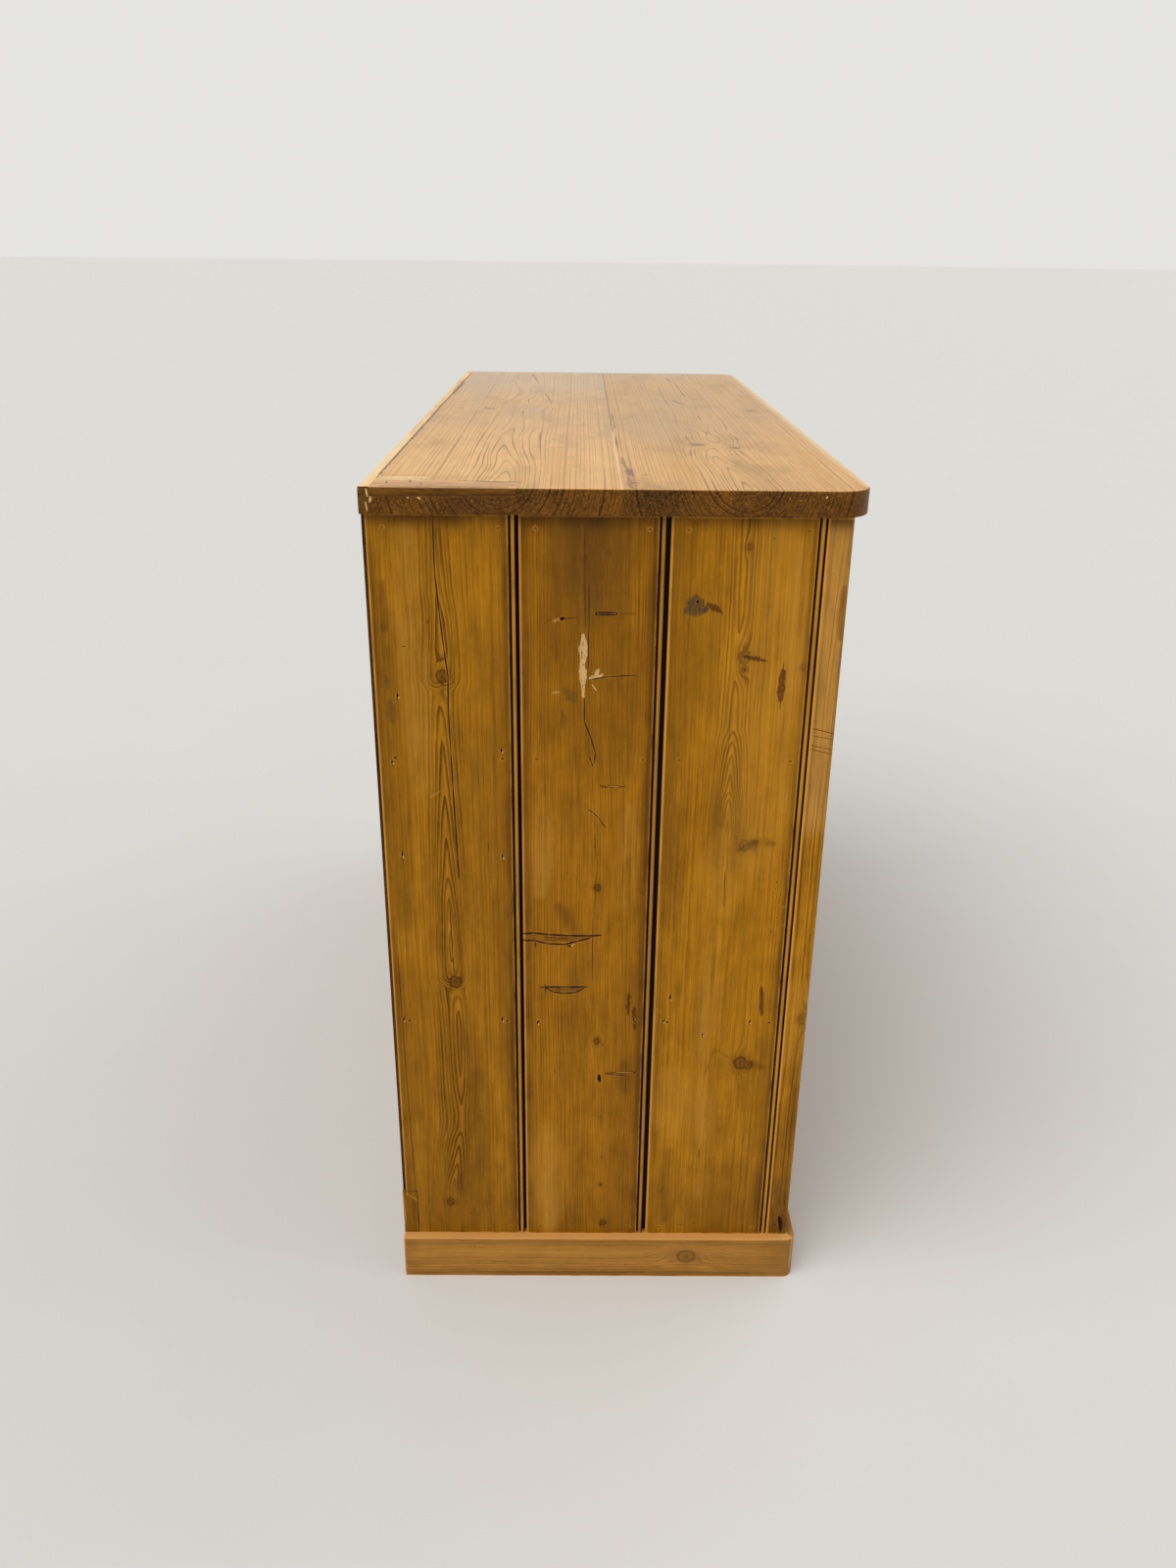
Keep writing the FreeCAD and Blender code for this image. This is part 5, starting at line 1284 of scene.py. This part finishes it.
TOP_BACK = dict(
    spacing=4.6, wide=1.4, depth=12, reach=30, contrast=0.56, seed=31.4, soil=0.12, rub=0.12, ripple=1.2,
    fibre=0.4, blotch=1.25, bold=(("bold", 74, 0.95, (116, -600), (124, -430), (126, -200)),), flush=True,
    tint=(0.965, 0.93, 0.86),
    heart=((-584, 118), (-500, 114), (-430, 118), (-380, 124), (-300, 128), (-240, 129), (-180, 124),
           (-120, 124), (-60, 125), (0, 127), (100, 110), (230, 100), (400, 112), (584, 118)),
    arches=((-584, -3.4), (-530, -2.6), (-480, -1.7), (-440, -1.0), (-400, -0.5), (-340, 0.2),
            (-260, 0.8), (-160, 1.7), (-100, 2.0), (0, 2.3), (100, 1.4), (230, 2.2), (400, 1.6),
            (584, 2.2)),
    knots=(((165, 30), 5, 2.5, 1.2), ((205, 32), 2.5, 2.2, 0.8)),
    marks=(
        # Checks and grey streaks along the heart
        ("veil", 4, 0.8, (135, -245), (131, -280), (126, -330), (122, -390)),
        ("veil", 2, 0.6, (131, -110), (124, -160), (122, -200)),
        ("crack", 0.45, 0.5, (118, 0), (119, -32)), ("crack", 0.5, 0.5, (96, 227), (90, 170), (83, 100)),
        ("crack", 0.45, 0.5, (118, 150), (115.5, 100)), ("veil", 9, 0.9, (190, 31), (150, 30)),
        ("veil", 40, 1.0, (200, 500), (190, 120)), ("veil", 60, 1.0, (120, -60), (120, 60)),
        ("glow", 30, 1.0, (60, -560), (70, -330)),
        # The far part: painted shade, and a painted grey sheen of reflected light
        ("shade", 1450, 0.5, (0, 300), (0, 320)), ("sheen", 1450, 0.5, (0, 820), (0, 840)),
        # Edges against the other board and the lipping
        ("cream", 1.1, 0.4, (4.2, -590), (4.4, -180)),
        ("seam", 1.7, 0.7, (234.4, -540), (234.4, -300), (234.6, 30)),
        ("seam", 1.0, 0.6, (234.6, 30), (234.6, 590)), ("cream", 6, 0.6, (232, -535), (186, -533)),
        ("seam", 1.2, 0.6, (3.4, 600), (3.4, -200)), ("soot", 3.2, 0.8, (233, 210), (232.5, 390)),
        *specks("umber", 2.0, (136, 530), (115, 505), (203, 32)),
        # Beside the patch
        ("glow", 14, 1.0, (225, -520), (120, -530)),
        ("seam", 1.5, 0.5, (160, -547.6), (126, -551), (98, -553.4)),
        # Smudges of the far part
        ("veil", 36, 1.0, (214, 560), (216, 300)), ("umber", 4, 0.9, (126, 540), (114, 420)),
        ("veil", 26, 1.0, (30, 570), (30, 500)), ("veil", 22, 1.0, (185, 95), (165, 70)),
        ("umber", 3.5, 0.9, (80, 31), (77, 25)), ("fair", 60, 1.0, (70, 470), (70, 250)),
    ),
    end_marks=(
        ("bare", 3.0, 0.3, (234, 1), (231, 7)), ("bare", 1.6, 0.3, (233, 9), (234, 14)),
        ("bare", 1.2, 0.4, (201, 6), (199, 10)), ("bare", 1.3, 0.4, (191, 8), (188, 11)),
        ("umber", 2.2, 0.5, (86.7, 11.4), (86.2, 12.6)), ("hole", 1.0, 0.4, (86.7, 11.4), (86.5, 13)),
        *specks("bare", 0.6, (150, 6), (128, 8), (141, 12), (74, 9), (58, 15), (44, 6)),
        *specks("hole", 0.8, (133, 9), (119, 7), (64, 12), (30, 14)),
    ),
    chips=(((-585, 236, 938), (4, 3.5, 5)), ((-585, 232, 925), (2.5, 2.5, 5)),
           ((-585, 190, 933), (1.6, 4, 3)), ((-585, 201, 935), (1.4, 3, 4)),
           ((-585, 14, 915), (4, 9, 2.5)), ((-584, 60, 941), (2, 5, 1.6))),
)
TOP_FRONT = dict(
    spacing=4.2, wide=1.3, depth=12, reach=30, contrast=0.56, seed=32.6, soil=0.12, rub=0.12, ripple=1.2,
    fibre=0.4, blotch=1.25,
    bold=(("bold", 74, 0.95, (-112, -600), (-102, -400), (-110, -200)),),
    flush=True, tint=(0.88, 0.82, 0.71),
    heart=((-584, -112), (-500, -110), (-440, -104), (-380, -100), (-320, -106), (-260, -112),
           (-200, -110), (-150, -108), (-80, -112), (0, -113), (200, -112), (400, -110), (584, -106)),
    arches=((-584, -2.6), (-520, -2.0), (-460, -1.1), (-400, -0.2), (-340, 0.8), (-300, 1.4), (-250, 0.6),
            (-200, 1.2), (-120, 0.2), (0, 1.0), (200, 0.2), (400, 0.9), (584, 0)),
    knots=(((-88, -298), 6, 1.2, 1.2), ((-128, -318), 4, 1.6, 1.0), ((-190, 30), 4, 2.2, 1.0)),
    marks=(
        # Knots and streaks
        ("veil", 9, 0.6, (-80, -297), (-93, -297)), ("umber", 3, 0.8, (-84, -299), (-90, -299)),
        ("veil", 46, 0.4, (-46, -262), (-50, 10)), ("veil", 60, 1.0, (-100, 0), (-110, 300)),
        ("crack", 0.5, 0.5, (-112, -30), (-114, -82)), ("veil", 4, 0.8, (-105, -130), (-112, -205)),
        ("glow", 4, 0.8, (-113, -200), (-124, -262)),
        ("veil", 5, 0.9, (-100, -375), (-108, -440), (-113, -505)),
        ("umber", 2.4, 0.7, (-125, -322), (-134, -322)), ("rub", 1.8, 0.6, (-124, -312), (-133, -312)),
        # Dirt along the joint with the other board
        ("umber", 3.4, 0.7, (-1, -396), (-3, -466)), ("soot", 6.5, 0.9, (-5, -470), (-8, -515)),
        ("umber", 4.5, 0.8, (-4, -520), (-5, -577)), ("soot", 1.6, 0.6, (-1, -560), (-8, -582)),
        ("soot", 1.7, 0.6, (1, -15), (0, -100)), ("soot", 1.5, 0.6, (1.5, -240), (1, -330)),
        # Smudges of the far part
        ("veil", 70, 1.0, (-80, 250), (-90, 90)), ("umber", 4, 0.9, (-106, 500), (-108, 430)),
        ("umber", 5, 0.9, (-92, 152), (-104, 96)), ("veil", 16, 1.0, (-210, 320), (-208, 240)),
        # More of the joint, the rubbed front edge with a painted highlight, and nicks
        ("soot", 1.5, 0.6, (0, -110), (0, -170)), ("rose", 9, 0.9, (-6, -460), (-8, -570)),
        ("cream", 11, 1.0, (-226, -560), (-226, 590)), ("umber", 2.0, 0.4, (-18, -506), (-26, -501)),
        ("umber", 1.6, 0.4, (-4, -552), (-14, -551)), ("umber", 1.2, 0.4, (-3, -566), (-13, -562)),
        ("crack", 0.5, 0.6, (-112, 420), (-113, 300), (-114, 200)),
        ("veil", 14, 1.0, (-110, 190), (-180, 190)),
        *specks("umber", 2.2, (-104, 97), (-115, 97), (-190, 30), (-212, -568), (-64, 560)),
        ("umber", 1.6, 0.7, (2, 215), (1, 195)), ("veil", 2.0, 0.8, (2, -60), (2, -175)),
        ("glow", 20, 1.0, (-190, -560), (-200, -330)), ("glow", 30, 1.0, (-60, -560), (-60, -340)),
        # The far part: painted shade, and a painted grey sheen of reflected light
        ("shade", 1450, 0.5, (0, 300), (0, 320)), ("sheen", 1450, 0.5, (0, 1100), (0, 1120)),
    ),
    end_marks=(
        ("umber", 2.4, 0.5, (-33, 7), (-33.4, 8.5)), ("hole", 1.2, 0.4, (-33, 7), (-33, 8.2)),
        ("umber", 2.8, 0.5, (-128.7, 15.5), (-129, 17.4)), ("hole", 1.4, 0.4, (-128.7, 16), (-129, 17)),
        ("umber", 2.2, 0.5, (-183.5, 5.5), (-183.5, 7)), ("bare", 1.0, 0.4, (-184, 5), (-183, 6.6)),
        *specks("bare", 0.6, (-60, 6), (-96, 8), (-110, 12), (-150, 7), (-160, 9), (-172, 8), (-22, 12)),
        *specks("hole", 0.8, (-48, 14), (-84, 9), (-141, 13), (-14, 9)),
    ),
    chips=(((-567, -9, 940.6), (3, 4, 1.4)), ((-553, -11, 940.5), (2, 5, 1.2)),
           ((-505, -22, 940.5), (4, 4, 1.2)), ((-585, -70, 914.5), (3, 8, 2)),
           ((-306, -230, 940), (7, 2, 2)), ((-250, -230, 940.5), (4, 1.6, 1.6))),
)
TOP_LIPPING = dict(
    spacing=2.4, depth=9, taper=0, contrast=0.3, seed=33.3, soil=0.0, rub=0.3, flush=True,
    tint=(1.12, 1.15, 1.2), knots=(),
    marks=(
        ("cream", 6, 0.4, (241, -584), (241, -250)), ("seam", 0.9, 0.5, (235.6, -520), (235.6, 580)),
        ("umber", 2.5, 0.9, (238, 250), (238, 460)), ("umber", 1.6, 0.7, (237, -60), (237, 120)),
    ),
    end_marks=(
        ("smoke", 4, 0.6, (240, 5), (240, 19)), ("bare", 1.1, 0.4, (237, 2), (236, 9)),
        ("bare", 0.9, 0.4, (238, 14), (237, 22)),
    ),
    chips=(((-585, 245, 939), (3, 2.4, 3)),),
)

# The patch lies across the boards: its points are (along the length, across the depth)
TOP_PATCH = dict(
    spacing=2.6, depth=7, taper=0, contrast=0.5, seed=34.8, soil=0.0, rub=0.06, flush=True, arris=0.6,
    edge_tint=0.74, tint=(0.94, 0.88, 0.84), knots=(),
    marks=(
        ("rose", 15, 0.6, (-566, 232), (-566, 150), (-568, 102)),
        ("cream", 4, 0.6, (-544, 235), (-544, 186)), ("soot", 3.0, 0.6, (-549, 150), (-547, 102)),
        ("seam", 2.0, 0.5, (-551.5, 140), (-554, 103)), ("seam", 0.9, 0.4, (-546, 202), (-561, 199)),
        ("seam", 0.8, 0.4, (-553, 222), (-566, 221)), ("seam", 0.8, 0.4, (-549, 205), (-551, 196)),
        ("umber", 1.6, 0.5, (-560, 190), (-574, 187)), ("umber", 5, 0.8, (-580, 225), (-581, 110)),
    ),
)

# The end of the plinth: points are (up, along the depth)
PLINTH_LEFT = dict(
    # A painted highlight on the ledge's upward face
    spacing=3.0, depth=10, taper=0.01, contrast=0.8, fibre=0.9, seed=72.4, soil=0.25, crown_highlight=0.68,
    rub=0.95, tint=(1.0, 1.0, 0.9), centre=40, knots=(((31.6, -92.4), 8.0, 2.0, 4.6),),
    marks=(
        ("haze", 8, 1.0, (4, 235), (5, -190)), ("glow", 9, 1.0, (40, 200), (36, -40)),
        ("resin", 0.6, 0.6, (22, 140), (23, 120)), *specks("resin", 1.1, (40, 60), (18, -20), (46, 160)),
    ),
)

# Where the random draws of each group of plain boards start
SEEDS = {
    "right_end": 21, "face_frame": 42, "left_door": 50, "right_door": 58, "corner_patch": 61,
    "plinth_front": 71, "plinth_right": 73, "plinth_back": 74, "plinth_blocks": 75, "inside": 81, "back": 91,
    "knob": 101, "nails": 105,
}
INSIDE_BOARDS = ("floor_front_board", "floor_back_board", "lower_shelf", "upper_shelf", "floor_bearers",
                 "shelf_bearers", "top_battens")
BACK_BOARDS = tuple(f"back_board_{number}" for number in range(1, 7))
DOOR_PARTS = ("hinge_stile", "meeting_stile", "top_rail", "bottom_rail", "panel", "mouldings")
UNWORN_PARTS = ("panel", "mouldings")
DUST = ("veil",)
BACK_GAP = 1.1
KNOB_ACROSS = 38
# Tint of the stopped nails, darkened to carry the painted shade below the top's overhang
NAIL_TINT_AND_SHADE = (0.24, 0.22, 0.25)
NAIL_REACH = 8


def hand_marks(across):
    """Grime and a scratch on a door's stile, below the hands that held its knob."""
    return (("haze", 26, 1.0, (across, 575), (across, 470)), ("dim", 44, 1.0, (across, 610), (across, 430)),
            ("rub", 1.0, 0.7, (across - 5, 462), (across + 3, 450)))


def plug_marks():
    """Stopping over the nails: in every board's head and foot, and in two boards at the upper shelf."""
    rows = ((95, UPPER_SHELF_ROW), *((245, row) for row in PLUGGED_ROWS))
    return tuple(("plug", NAIL_REACH, 0.2, (start, row), (-200, row)) for start, row in rows)


def plain_boards(show, first_seed, *nodes, **changes):
    """Plain boards, each with the seed that follows the last."""
    return {node: plain_board(node, show, seed, **changes)
            for seed, node in enumerate(nodes, start=first_seed)}


# Operators

def finish_boards(boards, pale, line, roughness, gloss, arris, **tones):
    """Gives each board its material, and a worn copy where its edges have a radius."""
    for node, made in boards.items():
        material = PineWriter(node, made, pale, line, roughness).write(gloss, **tones)
        if arris:
            worn_copy(node, made, material, made.arris * MM if made.arris else arris)
        else:
            dress(node, material)


def finish_waxed(pine, boards, arris, **tones):
    """Finishes boards in the wax of the ends, the face frame and the doors."""
    finish_boards(boards, pine.end_pale, pine.end_line, pine.wax_roughness, pine.wax_gloss, arris, **tones)


def finish_bare(pine, boards):
    """Finishes boards that were left bare."""
    finish_boards(boards, pine.raw_pale, pine.raw_line, pine.bare_roughness, pine.wax_gloss, 0)


class CUPBOARD_OT_left_end(Operator):
    """Finish the boards of the left end as years of wax have left them"""

    bl_idname = "cupboard.left_end"
    bl_label = "Left End"

    def execute(self, context):
        pine = context.scene.cupboard_pine
        patch = "left_end_corner_patch"
        boards = {
            "left_end_back_board": board("left_end_back_board", "-x", **LEFT_BACK),
            "left_end_middle_board": board("left_end_middle_board", "-x", **LEFT_MIDDLE),
            "left_end_front_board": board("left_end_front_board", "-x", **LEFT_FRONT),
            patch: plain_board(patch, "-x", SEEDS["corner_patch"], **LEFT_CORNER),
        }
        finish_waxed(pine, boards, pine.end_arris, hidden_tone=tuple(pine.raw_pale))
        return {"FINISHED"}


class CUPBOARD_OT_right_end(Operator):
    """Finish the boards of the right end"""

    bl_idname = "cupboard.right_end"
    bl_label = "Right End"

    def execute(self, context):
        pine = context.scene.cupboard_pine
        nodes = [f"right_end_{part}_board" for part in END_EDGES]
        # The eave is painted shade below the top's overhang
        boards = plain_boards("+x", SEEDS["right_end"], *nodes, eave=0.6)
        for made, edges in zip(boards.values(), END_EDGES.values()):
            made.bead, made.lit_edge, made.joints = edges["bead"], edges["lit_edge"], edges["joints"]
        finish_waxed(pine, boards, pine.end_arris, hidden_tone=tuple(pine.raw_pale))
        return {"FINISHED"}


class CUPBOARD_OT_top(Operator):
    """Finish the worn top boards, their lipping and the let-in patch"""

    bl_idname = "cupboard.top"
    bl_label = "Top"

    def execute(self, context):
        pine = context.scene.cupboard_pine
        boards = {
            "top_back_board": board("top_back_board", "+z", **TOP_BACK),
            "top_front_board": board("top_front_board", "+z", **TOP_FRONT),
            "top_back_lipping": board("top_back_lipping", "+z", **TOP_LIPPING),
            "top_end_patch": board("top_end_patch", "+z", **TOP_PATCH),
        }
        finish_boards(boards, pine.top_pale, pine.top_line, pine.top_roughness, pine.top_gloss,
                      pine.top_arris, edge_tone=tuple(pine.top_edge), hidden_tone=tuple(pine.raw_pale))
        return {"FINISHED"}


class CUPBOARD_OT_face_frame(Operator):
    """Finish the stiles and rails of the face frame"""

    bl_idname = "cupboard.face_frame"
    bl_label = "Face Frame"

    def execute(self, context):
        pine = context.scene.cupboard_pine
        boards = {"frame_left_stile": board("frame_left_stile", "-x", **LEFT_STILE)}
        boards.update(plain_boards("-y", SEEDS["face_frame"], "frame_right_stile", "frame_top_rail",
                                   "frame_bottom_rail"))
        finish_waxed(pine, boards, pine.end_arris)
        return {"FINISHED"}


class CUPBOARD_OT_doors(Operator):
    """Finish the stiles, rails, panels and mouldings of both doors"""

    bl_idname = "cupboard.doors"
    bl_label = "Doors"

    def execute(self, context):
        pine = context.scene.cupboard_pine
        for door, knob in (("left_door", -KNOB_ACROSS), ("right_door", KNOB_ACROSS)):
            boards = plain_boards("-y", SEEDS[door], *(f"{door}_{part}" for part in DOOR_PARTS))
            boards[f"{door}_meeting_stile"].marks += hand_marks(knob)
            for node, made in boards.items():
                finish_waxed(pine, {node: made}, 0 if node.endswith(UNWORN_PARTS) else pine.door_arris)
        return {"FINISHED"}


class CUPBOARD_OT_plinth(Operator):
    """Finish the plinth boards and the blocks behind them"""

    bl_idname = "cupboard.plinth"
    bl_label = "Plinth"

    def execute(self, context):
        pine = context.scene.cupboard_pine
        boards = {"plinth_left": board("plinth_left", "-x", **PLINTH_LEFT)}
        for side, show in (("front", "-y"), ("right", "+x"), ("back", "+y")):
            boards[f"plinth_{side}"] = plain_board(f"plinth_{side}", show, SEEDS[f"plinth_{side}"])
        finish_boards(boards, pine.plinth_pale, pine.plinth_line, pine.wax_roughness, pine.wax_gloss,
                      pine.plinth_arris)
        finish_bare(pine, plain_boards("-y", SEEDS["plinth_blocks"], "plinth_corner_blocks"))
        return {"FINISHED"}


class CUPBOARD_OT_inside(Operator):
    """Finish the bare boards of the inside and the back"""

    bl_idname = "cupboard.inside"
    bl_label = "Inside and Back"

    def execute(self, context):
        pine = context.scene.cupboard_pine
        finish_bare(pine, plain_boards("+z", SEEDS["inside"], *INSIDE_BOARDS, smudge=DUST))
        backs = plain_boards("+y", SEEDS["back"], *BACK_BOARDS, smudge=DUST, fibre=0.6, rub=0.1)
        for made in backs.values():
            made.marks += tuple(("seam", BACK_GAP, 0.5, *((side, along) for along in made.face_along))
                                for side in made.face_across)
        finish_boards(backs, pine.back_pale, pine.back_line, pine.bare_roughness, pine.wax_gloss, 0,
                      hidden_tone=tuple(pine.raw_pale), edge_tone=scaled(pine.top_edge, 0.4))
        return {"FINISHED"}


class CUPBOARD_OT_ironwork(Operator):
    """Finish the hinges, screws, lock, bolt, nails, escutcheon and knobs"""

    bl_idname = "cupboard.ironwork"
    bl_label = "Ironwork and Knobs"

    def execute(self, context):
        pine = context.scene.cupboard_pine
        metal = context.scene.cupboard_metal
        turned = plain_board("left_door_knob", "-y", SEEDS["knob"], knots=(), contrast=0.35)
        knob = PineWriter("turned_knob", turned, pine.knob_wood, scaled(pine.knob_wood, 0.5),
                          pine.knob_roughness)
        finishes = {
            "iron": metal_material("aged_iron", metal.iron, metal.rust, metal.iron_roughness,
                                   metal.rust_roughness),
            "brass": metal_material("aged_brass", metal.brass, metal.tarnish, metal.brass_roughness,
                                    metal.tarnish_roughness),
            "turned_knob": knob.write(pine.knob_gloss),
        }
        for node in frame["nodes"]:
            if record_slot(node) in finishes:
                dress(node, finishes[record_slot(node)])
        stopped = plain_board("left_end_back_board", "-x", SEEDS["nails"], knots=(), rub=0.0, tint=NAIL_TINT_AND_SHADE,
                              marks=plug_marks())
        nails = PineWriter("stopped_nails", stopped, pine.end_pale, pine.end_line, pine.wax_roughness)
        dress("end_nails", nails.write(pine.wax_gloss))
        return {"FINISHED"}


# Floor and lamps of the studio, with the way to each lamp
FLOOR_RADIUS = 160
FLOOR_SIDES = 96
FLOOR_ROUGHNESS = 0.8
FLOOR_GLOSS = 0.1
KEY_WAY = (-0.40, 0.42, 0.86)
FILL_WAY = (0.35, -0.8, 0.7)

# Camera of the picture: the picture is 1200 pixels wide
PICTURE_WIDTH = 1200
FOCAL_PIXELS = 1248.56
SENSOR_WIDTH = 36.0
CAMERA_PLACE = Vector((-1.7119, 0.0424, 1.1372))
CAMERA_PITCH = math.radians(23.48778)
CAMERA_YAW = math.radians(-0.53593)
CAMERA_ROLL = math.radians(0.65853)


class CUPBOARD_OT_stage(Operator):
    """Set the floor, the studio light and the camera"""

    bl_idname = "cupboard.stage"
    bl_label = "Stage"

    def execute(self, context):
        stage = context.scene.cupboard_stage
        self.lay_floor(context, stage)
        self.light(context, stage)
        self.aim_camera(context)
        context.scene.view_settings.view_transform = "Standard"
        return {"FINISHED"}

    def lay_floor(self, context, stage):
        """A wide plain floor."""
        bpy.ops.mesh.primitive_circle_add(vertices=FLOOR_SIDES, radius=FLOOR_RADIUS, fill_type="NGON",
                                          location=(0, 0, 0))
        floor = context.active_object
        floor.name = "studio_floor"
        material, tree, shader = new_material("studio_floor")
        cloud = noise(tree, millimetres(tree), 0.003, 0.003, 4, 0.6)
        shade = blend(tree, cloud, scaled(stage.floor, 0.96), tuple(stage.floor))
        feed(tree, shader.inputs["Base Color"], shade)
        shader.inputs["Roughness"].default_value = FLOOR_ROUGHNESS
        shader.inputs["Specular IOR Level"].default_value = FLOOR_GLOSS
        floor.data.materials.append(material)

    def light(self, context, stage):
        """Light from all round, a backdrop that only the camera and reflections see, and two soft lamps."""
        world = bpy.data.worlds.new("studio")
        context.scene.world = world
        world.use_nodes = True
        tree = world.node_tree
        lit = tree.nodes["Background"]
        lit.inputs["Color"].default_value = (*stage.surround, 1)
        lit.inputs["Strength"].default_value = stage.surround_strength
        seen = tree.nodes.new("ShaderNodeBackground")
        seen.inputs["Color"].default_value = (*stage.backdrop, 1)
        path = tree.nodes.new("ShaderNodeLightPath")
        rays = [Wire(tree, path.outputs[f"Is {kind} Ray"]) for kind in ("Camera", "Glossy", "Transmission")]
        choice = tree.nodes.new("ShaderNodeMixShader")
        feed(tree, choice.inputs[0], rays[0].most(rays[1]).most(rays[2]))
        tree.links.new(lit.outputs[0], choice.inputs[1])
        tree.links.new(seen.outputs[0], choice.inputs[2])
        tree.links.new(choice.outputs[0], tree.nodes["World Output"].inputs[0])
        for name, level, width, way in (("key", stage.key_strength, stage.key_spread, KEY_WAY),
                                        ("fill", stage.fill_strength, stage.fill_spread, FILL_WAY)):
            lamp = bpy.data.lights.new(name, "SUN")
            lamp.energy = level
            lamp.angle = width
            lamp.color = stage.surround
            held = bpy.data.objects.new(name, lamp)
            held.rotation_euler = Vector(way).to_track_quat("Z", "Y").to_euler()
            context.collection.objects.link(held)

    def aim_camera(self, context):
        """The camera where the picture was taken from."""
        lens = bpy.data.cameras.new("picture_view")
        lens.sensor_fit = "HORIZONTAL"
        lens.sensor_width = SENSOR_WIDTH
        lens.lens = FOCAL_PIXELS / PICTURE_WIDTH * SENSOR_WIDTH
        camera = bpy.data.objects.new("picture_view", lens)
        forward = Vector((math.cos(CAMERA_PITCH) * math.cos(CAMERA_YAW),
                          math.cos(CAMERA_PITCH) * math.sin(CAMERA_YAW), -math.sin(CAMERA_PITCH)))
        right = Vector((math.sin(CAMERA_YAW), -math.cos(CAMERA_YAW), 0))
        up = right.cross(forward)
        turned_right = math.cos(CAMERA_ROLL) * right + math.sin(CAMERA_ROLL) * up
        turned_up = math.cos(CAMERA_ROLL) * up - math.sin(CAMERA_ROLL) * right
        turn = Matrix((turned_right, turned_up, -forward)).transposed().to_4x4()
        camera.matrix_world = Matrix.Translation(CAMERA_PLACE) @ turn
        context.collection.objects.link(camera)
        context.scene.camera = camera


class CUPBOARD_PT_panel(Panel):
    """Lists the steps that finish the cupboard"""

    bl_idname = "CUPBOARD_PT_panel"
    bl_label = "Cupboard"
    bl_space_type = "VIEW_3D"
    bl_region_type = "UI"
    bl_category = "Cupboard"

    def draw(self, context):
        for step in STEPS:
            self.layout.operator(step.bl_idname)
        scene = context.scene
        for group in (scene.cupboard_pine, scene.cupboard_metal, scene.cupboard_stage):
            column = self.layout.column()
            for name in group.__annotations__:
                column.prop(group, name)


STEPS = (CUPBOARD_OT_left_end, CUPBOARD_OT_right_end, CUPBOARD_OT_top, CUPBOARD_OT_face_frame,
         CUPBOARD_OT_doors, CUPBOARD_OT_plinth, CUPBOARD_OT_inside, CUPBOARD_OT_ironwork, CUPBOARD_OT_stage)
CLASSES = (PineSettings, MetalSettings, StageSettings, *STEPS, CUPBOARD_PT_panel)


def register():
    for cls in CLASSES:
        bpy.utils.register_class(cls)
    bpy.types.Scene.cupboard_pine = PointerProperty(type=PineSettings)
    bpy.types.Scene.cupboard_metal = PointerProperty(type=MetalSettings)
    bpy.types.Scene.cupboard_stage = PointerProperty(type=StageSettings)


def unregister():
    del bpy.types.Scene.cupboard_stage
    del bpy.types.Scene.cupboard_metal
    del bpy.types.Scene.cupboard_pine
    for cls in reversed(CLASSES):
        bpy.utils.unregister_class(cls)


def main():
    register()
    for step in STEPS:
        family, name = step.bl_idname.split(".")
        getattr(getattr(bpy.ops, family), name)()


if __name__ == "__main__":
    main()
